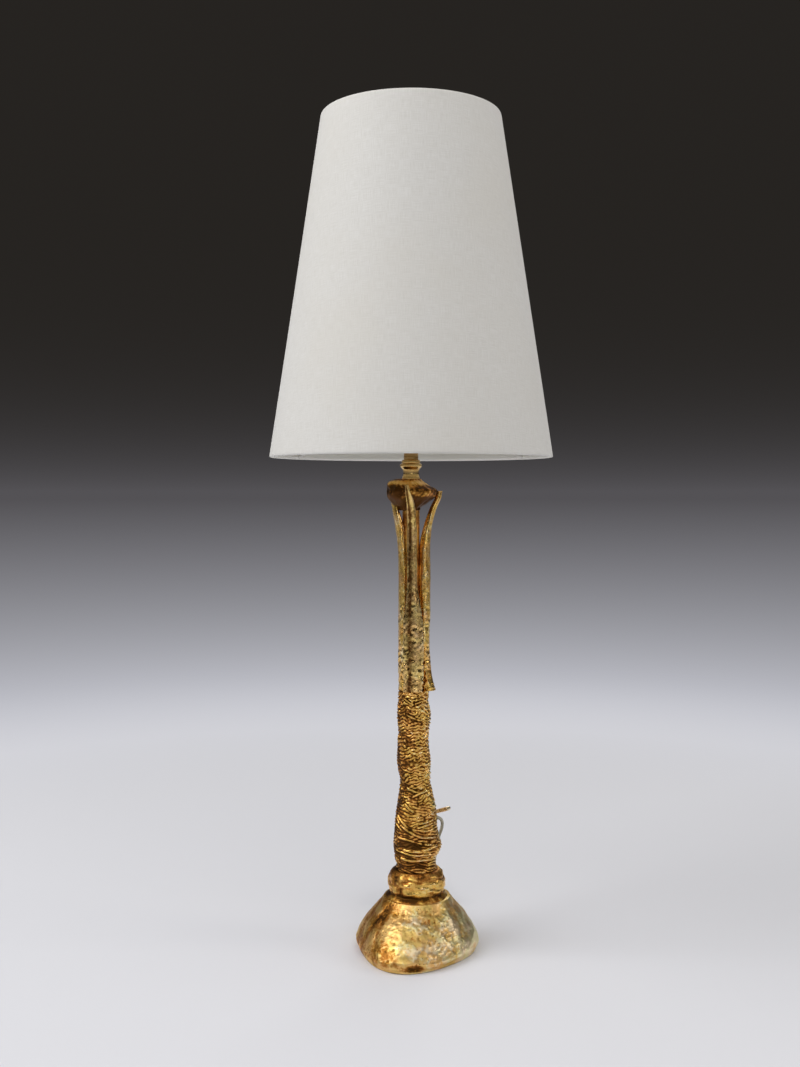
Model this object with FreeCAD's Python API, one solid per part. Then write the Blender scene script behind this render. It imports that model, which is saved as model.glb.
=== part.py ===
import FreeCAD, Part
import math
import os

# A table lamp of cast bronze and brass, in millimetres.
# The origin is on the floor, on the axis of the stem tube and the shade. +Z is up and the front faces -Y.

# Clearances
slip_gap = 0.1          # between fixed pieces that slip over each other
run_gap = 0.05          # radial clearance of a turning fit
glue_gap = 0.05         # between a hem tape and the cover under it

# Foot
felt_thick = 1.5
base_axis_x = 5.5       # the hand-made stem leans a little, so the foot stands off the tube's axis
base_rim_radius = 55.0
base_top_z = 46.0
base_wall = 5.0
base_top_wall = 8.0
base_inset = 3.0        # the felt stands this far in from the rim
bolt_d = 8.0
bolt_head_width = 13.0
bolt_head_high = 5.3
bolt_grip = 14.0        # depth of thread in the trunk
washer_d = 24.0
washer_thick = 2.0

# Collar between foot and trunk
collar_radius = 25.0
collar_height = 24.0
collar_seat_radius = 20.0
collar_x = base_axis_x - 0.4
boss_radius = 16.0

# Trunk
trunk_axis_x = 5.0
trunk_length = 160.0
trunk_drawn_length = 160.0   # the length that the trunk's level table is drawn for
trunk_low_z = base_top_z + collar_height
trunk_top_z = trunk_low_z + trunk_length
trunk_floor = 2.0            # bottom of the hollow, above the collar
trunk_top_wall = 7.0
trunk_bore_x = 3.6
trunk_bore_radius = 9.0
nut_room_x = 0.4
nut_room_radius = 8.8
nut_room_deep = 35.0         # below the trunk's top
switch_room_radius = 13.5
switch_room_low = 94.0
switch_room_high = 127.0

# Stem tube and sleeve
tube_d = 13.0
tube_wall = 1.4
tube_grip = 22.0             # how far the tube goes down into the trunk
tube_above_neck = 25.0       # from the neck's top up to the lampholder
tube_nut_width = 14.4
tube_nut_high = 5.0
sleeve_d = 15.4
sleeve_length = 161.5
leaf_drawn_length = 161.5    # the sleeve length that the leaf tables are drawn for
cup_low_z = trunk_top_z + sleeve_length

# Cup and neck
cup_axis_x = 1.2
cup_radius = 23.2
cup_height = 28.5
neck_height = 17.0
neck_foot_radius = 8.5
neck_waist_radius = 7.1
neck_bead_radius = 10.0
neck_bead_high = 3.8
neck_bead_drop = 5.2    # from the neck's top down to the middle of the bead
neck_lip_radius = 8.6
neck_lip_high = 3.1

# Lampholder for a 27 mm screw cap
nipple_d = 10.0
nipple_bore_d = 7.6
nipple_grip = 16.0      # how far the nipple goes down into the tube
holder_z = cup_low_z + cup_height + neck_height + tube_above_neck   # underside of the lampholder's cap
holder_d = 39.0
holder_wall = 1.2
holder_cap_high = 22.0
holder_shell_high = 32.0
flange_d = 48.0
flange_thick = 2.0
core_d = 34.0
core_high = 12.0
core_seat = 10.0        # from the cap's underside up to the core's
core_rim_high = 4.0
socket_d = 27.2
socket_wall = 0.5
socket_high = 24.0
contact_high = 2.5
holder_mouth_radius = 16.0
terminal_block = 5.0
terminal_block_high = 3.5
terminal_spot = 8.5

# Shade ring and its washer, on the outer thread of the lampholder
ring_d = 57.0
ring_high = 8.0
ring_flange_thick = 2.0
ring_skirt_wall = 2.4
washer_fibre_thick = 0.8

# Bulb
bulb_d = 60.0
bulb_length = 106.0
bulb_cap_d = 26.4
bulb_cap_high = 23.0
bulb_neck_d = 27.5
bulb_wall = 0.7

# Shade
shade_drop = 23.0       # the lower rim hangs this far below the lampholder's cap
shade_low_z = holder_z - shade_drop
shade_high = 306.0
shade_low_radius = 127.0
shade_top_radius = 81.2
shade_thick = 0.9
hem_high = 9.0
hem_thick = 0.35
wire_d = 3.0
carrier_hole_d = 40.0
carrier_d = 50.0
carrier_thick = 1.5
arm_count = 3
arm_d = 3.0

# Switch
switch_angle = 57.0     # direction of the bush, from +X towards +Y
switch_z = 114.7
lever_rest_angle = 44.5
pivot_radius = 12.0     # the lever's pivot, out from the trunk's axis
lever_length = 35.0
lever_root_d = 2.8
lever_tip_d = 4.0
lever_ball_d = 5.8
bush_d = 9.2
bush_bore_d = 6.4
bush_length = 11.5
bush_start = 9.5
nut_width = 11.0
nut_thick = 2.0
switch_body_deep = 16.0
switch_body_wide = 12.0
switch_body_high = 20.0
terminal_size = 5.0
terminal_thick = 0.8
terminal_spacing = 12.0

# Leads inside the stem
lead_d = 4.4
feed_d = 2.6

# Cord that leaves the trunk, its hank, its tie and its plug
cord_d = 3.0
cord_bush_d = 6.0
cord_bush_length = 11.0
hank_axis_x = 9.0
hank_middle_y = 112.0
hank_run = 56.0         # length of the side runs, between the end folds
hank_runs = 17          # side runs in all, so eight and a half loops
hank_swing = 5          # runs from one climb to the next
hank_step = 3.7         # from strand to strand across
hank_rise = 3.55        # from layer to layer
hank_side = 9.9         # from the hank's axis to a strand at step 0
hank_waist = 2.6        # how far the tie draws the runs in
tie_width = 7.0
tie_thick = 0.8
tie_gap = 0.1
plug_width = 35.0
plug_thick = 13.5
plug_length = 34.0
plug_neck_d = 8.0
plug_relief_length = 12.0
plug_entry_x = -1.0
plug_entry_y = 142.5
pin_d = 4.0
pin_length = 19.0
pin_spacing = 19.0

OUT = "parts"
os.makedirs(OUT, exist_ok=True)
nodes = {}


def V(x, y, z):
    return FreeCAD.Vector(x, y, z)


UP = V(0, 0, 1)


# Helpers
def cylinder(radius, low, high, x=0.0, y=0.0):
    """Upright cylinder between two heights."""
    return Part.makeCylinder(radius, high - low, V(x, y, low), UP)


def tube(outer, inner, low, high, x=0.0, y=0.0):
    """Upright tube between two heights."""
    return cylinder(outer, low, high, x, y).cut(cylinder(inner, low - 1, high + 1, x, y))


def turned(profile, x=0.0):
    """Solid of revolution about the upright line at x, from points (radius, height)."""
    points = [V(r, 0, z) for r, z in profile]
    face = Part.Face(Part.makePolygon(points + points[:1]))
    solid = face.revolve(V(0, 0, 0), UP, 360)
    solid.translate(V(x, 0, 0))
    return solid


def curved_profile(points):
    """Smooth edge through points (radius, height)."""
    curve = Part.BSplineCurve()
    curve.interpolate([V(r, 0, z) for r, z in points])
    return curve.toShape()


def turned_smooth(curve_points, closing_points, x=0.0):
    """Solid of revolution with one smooth outer curve, closed by straight lines through closing_points."""
    edges = [curved_profile(curve_points)]
    path = [curve_points[-1]] + closing_points + [curve_points[0]]
    for a, b in zip(path, path[1:]):
        edges.append(Part.makeLine(V(a[0], 0, a[1]), V(b[0], 0, b[1])))
    solid = Part.Face(Part.Wire(edges)).revolve(V(0, 0, 0), UP, 360)
    solid.translate(V(x, 0, 0))
    return solid


def hexagon(width, low, high, x=0.0, y=0.0):
    """Upright hexagonal prism, width across flats."""
    corner = width / math.sqrt(3)
    points = [V(x + corner * math.cos(math.radians(60 * k)), y + corner * math.sin(math.radians(60 * k)), low)
              for k in range(7)]
    return Part.Face(Part.makePolygon(points)).extrude(V(0, 0, high - low))


def direction(angle):
    """Level unit vector at an angle from +X towards +Y."""
    return V(math.cos(math.radians(angle)), math.sin(math.radians(angle)), 0)


def ring_torus(radius, section, z):
    """Level ring of round wire."""
    return Part.makeTorus(radius, section, V(0, 0, z), UP)


def save(name, shape):
    """Keep a node's shape and write its file."""
    if shape.ShapeType == "Compound" and len(shape.Solids) == 1:
        shape = shape.Solids[0]
    nodes[name] = shape
    shape.exportStep(os.path.join(OUT, name + ".step"))


# Foot
def base_plan(angle):
    """How far the foot's rim reaches at an angle, as a share of its radius: it bulges to the front left."""
    bulge = 0.25 * math.exp(-(((angle - 254) / 34.0) ** 2))
    corner = 0.03 * math.cos(math.radians(3 * (angle - 20)))
    return 1 + bulge + corner * math.exp(-(((angle - 250) / 90.0) ** 2))


def base_section(radius, z, round_share):
    """Closed level curve of the foot. round_share is 0 where it follows the plan and 1 where it is round."""
    points = []
    for k in range(24):
        angle = 15.0 * k
        reach = radius * (1 + (base_plan(angle) - 1) * (1 - round_share))
        points.append(V(base_axis_x, 0, z) + direction(angle) * reach)
    curve = Part.BSplineCurve()
    curve.interpolate(points, PeriodicFlag=True)
    return Part.Wire(curve.toShape())


# radius, height and how round, from the felt up to the lip under the collar
base_levels = [
    (base_rim_radius - base_inset, felt_thick, 0.0),
    (base_rim_radius, 7.0, 0.0),
    (base_rim_radius - 1.6, 13.0, 0.08),
    (48.5, 22.0, 0.25),
    (41.0, 32.0, 0.5),
    (33.0, 41.0, 0.85),
    (29.0, base_top_z, 1.0),
]


def make_base():
    outer = Part.makeLoft([base_section(r, z, k) for r, z, k in base_levels], True, False)
    hollow_levels = [(r - base_wall, z, k) for r, z, k in base_levels if z < base_top_z - base_top_wall]
    first = hollow_levels[0]
    last = hollow_levels[-1]
    hollow_levels = [(first[0], first[1] - 1.0, first[2])] + hollow_levels[1:]
    hollow_levels.append((last[0] - 6.0, base_top_z - base_top_wall, 0.85))
    hollow = Part.makeLoft([base_section(r, z, k) for r, z, k in hollow_levels], True, True)
    body = outer.cut(hollow)
    body = body.cut(cylinder(bolt_d / 2 + slip_gap, 0, base_top_z + 1, base_axis_x))
    save("base_casting", body)


def make_felt():
    outline = base_section(base_rim_radius - base_inset, 0.0, 0.0)
    save("felt_pad", Part.Face(outline).extrude(V(0, 0, felt_thick)))


def make_base_bolt():
    seat = base_top_z - base_top_wall
    washer = tube(washer_d / 2, bolt_d / 2 + slip_gap, seat - washer_thick, seat, base_axis_x)
    save("base_washer", washer)
    head_top = seat - washer_thick
    bolt = hexagon(bolt_head_width, head_top - bolt_head_high, head_top, base_axis_x)
    bolt = bolt.fuse(cylinder(bolt_d / 2, head_top, base_top_z + bolt_grip, base_axis_x))
    save("base_bolt", bolt.removeSplitter())


# Collar, as points (further out than the collar's radius, share of its height)
collar_curve = [
    (2.5, 0.0),
    (0.6, 2.5 / 24),
    (0.0, 0.25),
    (0.4, 0.5),
    (-0.4, 17.5 / 24),
    (-2.6, 22 / 24),
]


def make_collar():
    low = base_top_z
    top = trunk_low_z
    inner = boss_radius + slip_gap
    outline = [(collar_radius + out, low + collar_height * share) for out, share in collar_curve]
    outline.append((collar_seat_radius, top))
    save("collar_ring", turned_smooth(outline, [(inner, top), (inner, low)], collar_x))


# Trunk, as level circles: height above the collar, centre and radius
trunk_levels = [
    (0.0, 4.9, 18.2),
    (5.0, 4.4, 18.0),
    (10.5, 4.0, 18.6),
    (16.0, 5.2, 20.6),
    (21.0, 5.8, 21.6),
    (29.0, 4.8, 20.1),
    (42.5, 4.4, 18.8),
    (52.5, 4.9, 18.1),
    (60.5, 4.5, 16.6),
    (69.5, 4.3, 14.9),
    (79.0, 3.7, 13.5),
    (86.0, 3.1, 14.1),
    (96.0, 2.7, 15.0),
    (110.0, 1.9, 14.0),
    (123.5, 2.4, 13.8),
    (139.0, 2.7, 14.9),
    (150.0, 2.2, 13.6),
    (160.0, 2.3, 13.5),
]


def make_trunk():
    stretch = trunk_length / trunk_drawn_length
    rings = [Part.Wire(Part.Circle(V(x, 0, trunk_low_z + h * stretch), UP, r).toShape())
             for h, x, r in trunk_levels]
    body = Part.makeLoft(rings, True, False)
    body = body.fuse(cylinder(boss_radius, base_top_z, trunk_low_z + trunk_floor, collar_x))
    body = body.cut(cylinder(bolt_d / 2 + run_gap, base_top_z - 1, base_top_z + bolt_grip + 2, base_axis_x))
    nut_room_low = trunk_top_z - nut_room_deep
    body = body.cut(cylinder(trunk_bore_radius, trunk_low_z + trunk_floor, nut_room_low + 1, trunk_bore_x))
    body = body.cut(cylinder(nut_room_radius, nut_room_low, trunk_top_z - trunk_top_wall, nut_room_x))
    body = body.cut(cylinder(switch_room_radius, switch_room_low, switch_room_high, trunk_axis_x))
    body = body.cut(cylinder(tube_d / 2 + slip_gap, trunk_top_z - trunk_top_wall - 1, trunk_top_z + 1))
    out = direction(switch_angle)
    middle = V(trunk_axis_x, 0, switch_z)
    body = body.cut(Part.makeCylinder(bush_d / 2 + slip_gap, 30, middle, out))
    nut_seat = bush_start + bush_length - nut_thick - 1.0
    body = body.cut(Part.makeCylinder(nut_width / 2 + 1.0, 10, middle + out * nut_seat, out))
    start, along = cord_exit()
    cord_hole = Part.makeCylinder(cord_bush_d / 2 + slip_gap, cord_bush_length + 6,
                                  start - along * (cord_bush_length + 3), along)
    body = body.cut(cord_hole)
    save("trunk_casting", body.removeSplitter())


def make_stem():
    save("stem_tube", tube(tube_d / 2, tube_d / 2 - tube_wall, trunk_top_z - tube_grip, holder_z))
    nut_top = trunk_top_z - trunk_top_wall
    nut = hexagon(tube_nut_width, nut_top - tube_nut_high, nut_top)
    save("tube_nut", nut.cut(cylinder(tube_d / 2 + run_gap, nut_top - tube_nut_high - 1, nut_top + 1)))
    save("stem_sleeve", tube(sleeve_d / 2, tube_d / 2 + slip_gap, trunk_top_z, cup_low_z))


# Four leaf-like uprights, as level ovals.
# Each level is: height above the trunk, centre x, centre y, thickness outwards, width across.
leaf_levels = {
    "leaf_left": (200.0, [
        (0.0, -8.2, -2.4, 5.2, 14.0),
        (32.0, -8.2, -2.4, 5.2, 13.6),
        (70.0, -8.1, -2.3, 5.6, 12.8),
        (110.0, -7.8, -2.2, 6.6, 12.0),
        (128.0, -8.2, -2.2, 7.2, 11.6),
        (144.0, -9.8, -2.0, 7.6, 11.0),
        (157.0, -12.6, -1.8, 6.8, 9.8),
        (166.0, -15.0, -1.4, 5.0, 8.0),
        (172.5, -16.8, -1.2, 3.8, 6.2),
    ]),
    "leaf_front": (270.0, [
        (0.0, 1.8, -11.6, 6.6, 17.4),
        (20.0, 2.0, -11.6, 6.4, 18.4),
        (45.0, 2.0, -11.5, 6.2, 18.2),
        (64.0, 1.8, -11.4, 6.0, 17.0),
        (76.0, 1.7, -11.4, 5.9, 14.2),
        (87.0, 1.3, -11.4, 5.8, 11.0),
        (100.0, 0.9, -11.5, 5.8, 9.4),
        (117.0, 0.8, -11.9, 5.8, 9.0),
        (135.0, 0.9, -12.8, 5.6, 8.8),
        (152.0, 0.6, -14.6, 5.4, 8.2),
        (166.0, -0.6, -18.6, 5.2, 7.2),
        (177.0, -2.6, -24.2, 4.0, 5.2),
        (184.5, -4.2, -25.8, 2.2, 3.0),
    ]),
    "leaf_right": (0.0, [
        (0.0, 15.8, 0.6, 14.0, 15.0),
        (10.0, 14.0, 0.4, 11.6, 14.0),
        (32.0, 12.0, 0.2, 10.6, 13.4),
        (70.0, 12.2, -0.2, 10.8, 12.2),
        (110.0, 12.3, -0.4, 10.8, 11.2),
        (135.0, 13.1, -0.2, 9.6, 10.4),
        (152.0, 16.4, 0.0, 7.2, 9.2),
        (164.0, 20.4, 0.6, 6.0, 8.2),
        (173.0, 24.6, 1.0, 5.0, 6.6),
        (179.0, 26.4, 1.2, 3.6, 4.6),
    ]),
    "leaf_back": (90.0, [
        (0.0, 2.2, 11.6, 7.0, 13.6),
        (32.0, 2.0, 11.3, 6.2, 12.4),
        (70.0, 1.6, 11.4, 6.0, 11.0),
        (110.0, 1.6, 11.8, 6.0, 10.0),
        (135.0, 1.8, 12.8, 5.8, 9.2),
        (152.0, 2.0, 14.8, 5.6, 8.6),
        (166.0, 2.2, 18.8, 5.2, 7.4),
        (177.0, 2.6, 24.4, 4.0, 5.4),
        (183.0, 2.8, 25.8, 2.6, 3.4),
    ]),
}


def leaf_section(rise, x, y, thick, wide, facing):
    """Closed level oval of a leaf, its thickness measured along the direction that the leaf faces."""
    z = trunk_top_z + rise * sleeve_length / leaf_drawn_length
    out = direction(facing)
    across = direction(facing + 90)
    points = []
    for k in range(12):
        turn = math.radians(30 * k)
        points.append(V(x, y, z) + out * (thick / 2 * math.cos(turn)) + across * (wide / 2 * math.sin(turn)))
    curve = Part.BSplineCurve()
    curve.interpolate(points, PeriodicFlag=True)
    return Part.Wire(curve.toShape())


# Cup, as level circles: height above its underside, centre and radius.
# It is deep on the left and thin on the right.
cup_levels = [
    (0.0, -1.2, 9.2),
    (2.7, -2.2, 12.2),
    (6.7, -1.6, 17.1),
    (13.4, 0.5, cup_radius - 0.5),
    (18.2, cup_axis_x, cup_radius),
    (22.6, -2.6, 19.2),
    (26.4, -4.4, 15.2),
    (28.5, -2.4, 11.2),
]


def cup_body():
    """The cup before its bore is cut, trimmed flat below and above."""
    stretch = cup_height / cup_levels[-1][0]
    rings = [Part.Wire(Part.Circle(V(x, 0, cup_low_z + h * stretch), UP, r).toShape())
             for h, x, r in cup_levels]
    trim = cylinder(2 * cup_radius, cup_low_z, cup_low_z + cup_height)
    return Part.makeLoft(rings, True, False).common(trim)


def make_cup():
    top = cup_low_z + cup_height
    save("cup_cap", cup_body().cut(cylinder(tube_d / 2 + slip_gap, cup_low_z - 1, top + 1)))


def leaf_body(name):
    facing, levels = leaf_levels[name]
    return Part.makeLoft([leaf_section(*level, facing) for level in levels], True, False)


def make_leaves():
    """The leaves, each cut back where it meets the sleeve, the cup or the front leaf."""
    sleeve_room = cylinder(sleeve_d / 2 + slip_gap, trunk_top_z - 1, cup_low_z + 1)
    held = cup_body()
    foremost = leaf_body("leaf_front")
    for name in leaf_levels:
        leaf = leaf_body(name).cut(sleeve_room).cut(held)
        if name != "leaf_front":
            leaf = leaf.cut(foremost)
        save(name, leaf)


def make_neck():
    low = cup_low_z + cup_height
    high = low + neck_height
    inner = tube_d / 2 + slip_gap
    bead_low = high - neck_bead_drop - neck_bead_high / 2
    outline = [
        (neck_foot_radius, low),
        (neck_foot_radius - 0.6, low + 1.5),
        (neck_waist_radius, low + 4.0),
        (neck_waist_radius, low + 6.0),
        (neck_waist_radius + 0.7, bead_low - 1.3),
        (neck_bead_radius - 0.7, bead_low + 0.5),
        (neck_bead_radius, high - neck_bead_drop),
        (neck_bead_radius - 0.4, bead_low + neck_bead_high - 0.7),
        (neck_lip_radius - 0.2, high - neck_lip_high),
        (neck_lip_radius, high - neck_lip_high + 1.0),
        (neck_lip_radius - 0.3, high - 1.0),
        (neck_waist_radius + 0.4, high),
    ]
    save("neck_ferrule", turned_smooth(outline, [(inner, high), (inner, low)]))


# Lampholder
cap_top = holder_z + holder_cap_high
shell_top = cap_top + holder_shell_high
flange_z = cap_top + 3.0
core_low = holder_z + core_seat
core_top = core_low + core_high
socket_low = core_top
holder_in = holder_d / 2 - holder_wall


def make_holder():
    save("holder_nipple", tube(nipple_d / 2, nipple_bore_d / 2, holder_z - nipple_grip, core_low - 1.5))
    cap_outline = [(11.0, holder_z), (16.0, holder_z + 3.0), (holder_d / 2 - 0.6, holder_z + 9.0),
                   (holder_d / 2, holder_z + 15.0), (holder_d / 2, cap_top)]
    hole = nipple_d / 2 + run_gap
    cap = turned_smooth(cap_outline, [(0, cap_top), (0, holder_z)])
    hollow_outline = [(10.0, holder_z + 3.5), (15.0, holder_z + 5.5), (holder_in - 0.8, holder_z + 10.0),
                      (holder_in, holder_z + 15.0), (holder_in, cap_top + 0.5)]
    hollow = turned_smooth(hollow_outline, [(0, cap_top + 0.5), (0, holder_z + 3.5)])
    cap = cap.cut(hollow).cut(cylinder(hole, holder_z - 1, cap_top))
    save("holder_cap", cap)
    core = cylinder(core_d / 2, core_low, core_top)
    core = core.fuse(cylinder(holder_in - slip_gap, core_top - core_rim_high, core_top)).removeSplitter()
    save("holder_core", core)
    blocks = []
    half = terminal_block / 2
    for side in (-1, 1):
        corner = V(side * terminal_spot - half, -half, core_low - terminal_block_high)
        blocks.append(Part.makeBox(terminal_block, terminal_block, terminal_block_high, corner))
    save("holder_terminals", Part.makeCompound(blocks))
    save("centre_contact", cylinder(4.0, core_top, core_top + contact_high))
    socket = tube(socket_d / 2 + socket_wall, socket_d / 2, socket_low, socket_low + socket_high)
    save("threaded_socket", socket)
    shell = tube(holder_d / 2, holder_in, cap_top, shell_top)
    shell = shell.fuse(tube(flange_d / 2, holder_in, flange_z, flange_z + flange_thick))
    shell = shell.fuse(tube(holder_in + 0.1, holder_mouth_radius, shell_top - 2, shell_top))
    save("holder_shell", shell.removeSplitter())


carrier_z = flange_z + flange_thick
washer_z = carrier_z + carrier_thick
ring_z = washer_z + washer_fibre_thick


def make_shade_ring():
    hole = holder_d / 2 + run_gap
    save("fibre_washer", tube(carrier_d / 2, hole + 0.2, washer_z, ring_z))
    ring = tube(ring_d / 2, hole, ring_z, ring_z + ring_flange_thick)
    skirt = tube(hole + ring_skirt_wall, hole, ring_z, ring_z + ring_high)
    ring = ring.fuse(skirt).removeSplitter()
    for k in range(24):
        spot = direction(15 * k) * (ring_d / 2 + 0.6)
        ring = ring.cut(cylinder(1.3, ring_z - 1, ring_z + ring_flange_thick + 1, spot.x, spot.y))
    save("shade_ring", ring)


# Bulb
bulb_low_z = core_top + contact_high + 0.3
bulb_cap_top = bulb_low_z + bulb_cap_high
bulb_top = bulb_low_z + bulb_length


def bulb_outline(inset):
    """Outer curve of the glass, drawn in by inset: neck, shoulder, globe and crown."""
    globe = bulb_d / 2
    middle = bulb_top - globe
    points = [
        (bulb_neck_d / 2 - inset, bulb_cap_top),
        (bulb_neck_d / 2 + 0.3 - inset, bulb_cap_top + 8.0),
        (bulb_neck_d / 2 + 3.2 - inset, bulb_cap_top + 18.0),
        (globe * 0.86 - inset, middle - globe * 0.55),
        (globe - inset, middle),
        (globe * 0.75 - inset * 0.75, middle + (globe - inset) * 0.66),
        (0.0, bulb_top - inset),
    ]
    curve = Part.BSplineCurve()
    knots = [V(r, 0, z) for r, z in points]
    curve.interpolate(Points=knots, InitialTangent=V(0, 0, 12), FinalTangent=V(-22, 0, 0))
    return curve.toShape(), points


def make_bulb():
    def solid(inset):
        edge, points = bulb_outline(inset)
        low = points[0]
        line_in = Part.makeLine(V(0, 0, low[1]), V(low[0], 0, low[1]))
        line_up = Part.makeLine(V(0, 0, points[-1][1]), V(0, 0, low[1]))
        return Part.Face(Part.Wire([edge, line_up, line_in])).revolve(V(0, 0, 0), UP, 360)

    save("bulb_glass", solid(0.0).cut(solid(bulb_wall)))
    cap = cylinder(bulb_cap_d / 2, bulb_low_z + 5.0, bulb_cap_top)
    cap = cap.fuse(Part.makeCone(5.5, 9.5, 5.0, V(0, 0, bulb_low_z), UP))
    save("bulb_cap", cap.removeSplitter())
    stem = Part.makeCone(7.0, 3.0, 26.0, V(0, 0, bulb_cap_top), UP)
    save("bulb_stem", stem)


# Shade
shade_top_z = shade_low_z + shade_high


def shade_radius(z):
    """Outer radius of the shade's cover at a height."""
    share = (z - shade_low_z) / shade_high
    return shade_low_radius + (shade_top_radius - shade_low_radius) * share


def cone_shell(low, high, outer_offset, thick):
    """Thin cone along the shade's slope, its outer face outer_offset outside the cover's."""
    a = shade_radius(low) + outer_offset
    b = shade_radius(high) + outer_offset
    return turned([(a, low), (b, high), (b - thick, high), (a - thick, low)])


def make_shade():
    save("shade_cover", cone_shell(shade_low_z, shade_top_z, -hem_thick - glue_gap, shade_thick))
    save("bottom_hem", cone_shell(shade_low_z, shade_low_z + hem_high, 0.0, hem_thick))
    save("top_hem", cone_shell(shade_top_z - hem_high, shade_top_z, 0.0, hem_thick))
    wire = wire_d / 2
    inset = hem_thick + glue_gap + shade_thick + wire + glue_gap
    low_wire_z = shade_low_z + wire + 0.5
    top_wire_z = shade_top_z - wire - 0.5
    low_wire_radius = shade_radius(low_wire_z) - inset
    save("bottom_wire", ring_torus(low_wire_radius, wire, low_wire_z))
    save("top_wire", ring_torus(shade_radius(top_wire_z) - inset, wire, top_wire_z))
    save("carrier_ring", tube(carrier_d / 2, carrier_hole_d / 2, carrier_z, carrier_z + carrier_thick))
    arms = []
    for k in range(arm_count):
        out = direction(30 + 360 / arm_count * k)
        start = out * (carrier_d / 2 - 0.2) + UP * (carrier_z + carrier_thick / 2)
        end = out * (low_wire_radius - wire + 0.15) + UP * low_wire_z
        along = end - start
        arms.append(Part.makeCylinder(arm_d / 2, along.Length, start, along))
    save("carrier_arms", Part.makeCompound(arms))


# Switch
def make_switch():
    out = direction(switch_angle)
    side = direction(switch_angle + 90)
    middle = V(trunk_axis_x, 0, switch_z)
    body = Part.makeBox(switch_body_deep, switch_body_wide, switch_body_high)
    body.translate(V(0, -switch_body_wide / 2, -switch_body_high / 2))
    body.rotate(V(0, 0, 0), UP, switch_angle)
    body.translate(middle + out * (bush_start - switch_body_deep))
    pocket = Part.makeCylinder(bush_bore_d / 2, 9.0, middle + out * (bush_start - 8.5), out)
    save("switch_body", body.cut(pocket))
    bush = Part.makeCylinder(bush_d / 2, bush_length, middle + out * bush_start, out)
    bore = Part.makeCylinder(bush_bore_d / 2, bush_length + 2, middle + out * (bush_start - 1), out)
    flare_start = middle + out * (bush_start + bush_length - 6.0)
    flare = Part.makeCone(bush_bore_d / 2, bush_bore_d / 2 + 0.9, 6.0, flare_start, out)
    save("switch_bush", bush.cut(bore).cut(flare))
    nut_start = bush_start + bush_length - nut_thick - 1.0
    nut = hexagon(nut_width, 0, nut_thick)
    nut = nut.cut(cylinder(bush_d / 2 + run_gap, -1, nut_thick + 1))
    nut.Placement = FreeCAD.Placement(middle + out * nut_start, FreeCAD.Rotation(UP, out))
    save("switch_nut", nut)
    pivot = middle + out * pivot_radius
    along = direction(lever_rest_angle)
    ball = Part.makeSphere(lever_ball_d / 2, pivot)
    arm = Part.makeCone(lever_root_d / 2, lever_tip_d / 2, lever_length - lever_tip_d / 2, pivot, along)
    tip = Part.makeSphere(lever_tip_d / 2, pivot + along * (lever_length - lever_tip_d / 2))
    tail = Part.makeCylinder(1.2, 7.0, pivot, along * -1)
    save("toggle_lever", ball.fuse([arm, tip, tail]).removeSplitter())
    lugs = []
    for k in (-1, 1):
        lug = Part.makeBox(terminal_size, terminal_thick, terminal_size)
        lug.translate(V(-terminal_size, -terminal_thick / 2, -terminal_size / 2 + k * terminal_spacing / 2))
        lug.rotate(V(0, 0, 0), UP, switch_angle)
        lug.translate(middle + out * (bush_start - switch_body_deep))
        lugs.append(lug)
    save("switch_terminals", Part.makeCompound(lugs))


# Cord
hank_low_z = tie_thick + tie_gap + cord_d / 2
hank_layers = (hank_runs - 1) // hank_swing + 1
hank_top_z = hank_low_z + (hank_layers - 1) * hank_rise
hank_low_y = hank_middle_y - hank_run / 2
hank_high_y = hank_middle_y + hank_run / 2
hank_start = V(hank_axis_x + hank_side + 1.5 * hank_step, hank_low_y - cord_d, hank_low_z)
hank_end = V(hank_axis_x + hank_side + 0.5 * hank_step, hank_high_y + cord_d, hank_top_z)
plug_z = hank_top_z + cord_d / 2 + tie_gap * 2 + tie_thick + plug_thick / 2
plug_entry = V(plug_entry_x, plug_entry_y, plug_z)

# the free stretch: out of the trunk's rear right, round and down behind it, and over the floor to the hank
cord_points = [
    V(10.4, 17.9, 104.5),
    V(17.0, 22.3, 107.2),
    V(23.4, 25.6, 109.2),
    V(29.2, 28.4, 105.4),
    V(31.0, 31.0, 96.4),
    V(27.8, 35.6, 85.8),
    V(24.0, 42.5, 73.5),
    V(22.0, 50.0, 60.0),
    V(24.0, 55.5, 45.5),
    V(27.0, 58.5, 31.5),
    V(28.2, 60.5, 19.0),
    V(26.6, 64.0, 9.2),
    V(hank_start.x, 71.0, hank_start.z),
    hank_start,
]

# the tail: off the top of the hank, round behind it and back into the plug that lies on it
tail_points = [
    hank_end,
    V(hank_end.x, 152.0, hank_end.z),
    V(14.4, 158.4, 15.7),
    V(5.4, 158.4, 20.0),
    V(plug_entry.x, 152.0, plug_entry.z),
    plug_entry,
]


def cord_exit():
    """Where the cord leaves its bush in the trunk's rear wall, and which way it points."""
    along = cord_points[1] - cord_points[0]
    along.normalize()
    return cord_points[0], along


def rounded_route(points):
    """Straight runs joined by arcs that touch both, as large as the runs allow, with their radii."""
    edges = []
    radii = []
    last = points[0]
    for a, b, c in zip(points, points[1:], points[2:]):
        before = (a - b)
        after = (c - b)
        shorter = min(before.Length, after.Length)
        before.normalize()
        after.normalize()
        turn = math.pi - before.getAngle(after)
        reach = 0.45 * shorter
        radius = reach / math.tan(turn / 2)
        start = b + before * reach
        end = b + after * reach
        inward = before + after
        inward.normalize()
        middle = b + inward * (radius / math.cos(turn / 2) - radius)
        edges.append(Part.makeLine(last, start))
        edges.append(Part.Arc(start, middle, end).toShape())
        radii.append(radius)
        last = end
    edges.append(Part.makeLine(last, points[-1]))
    return Part.Wire(edges), radii


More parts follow.
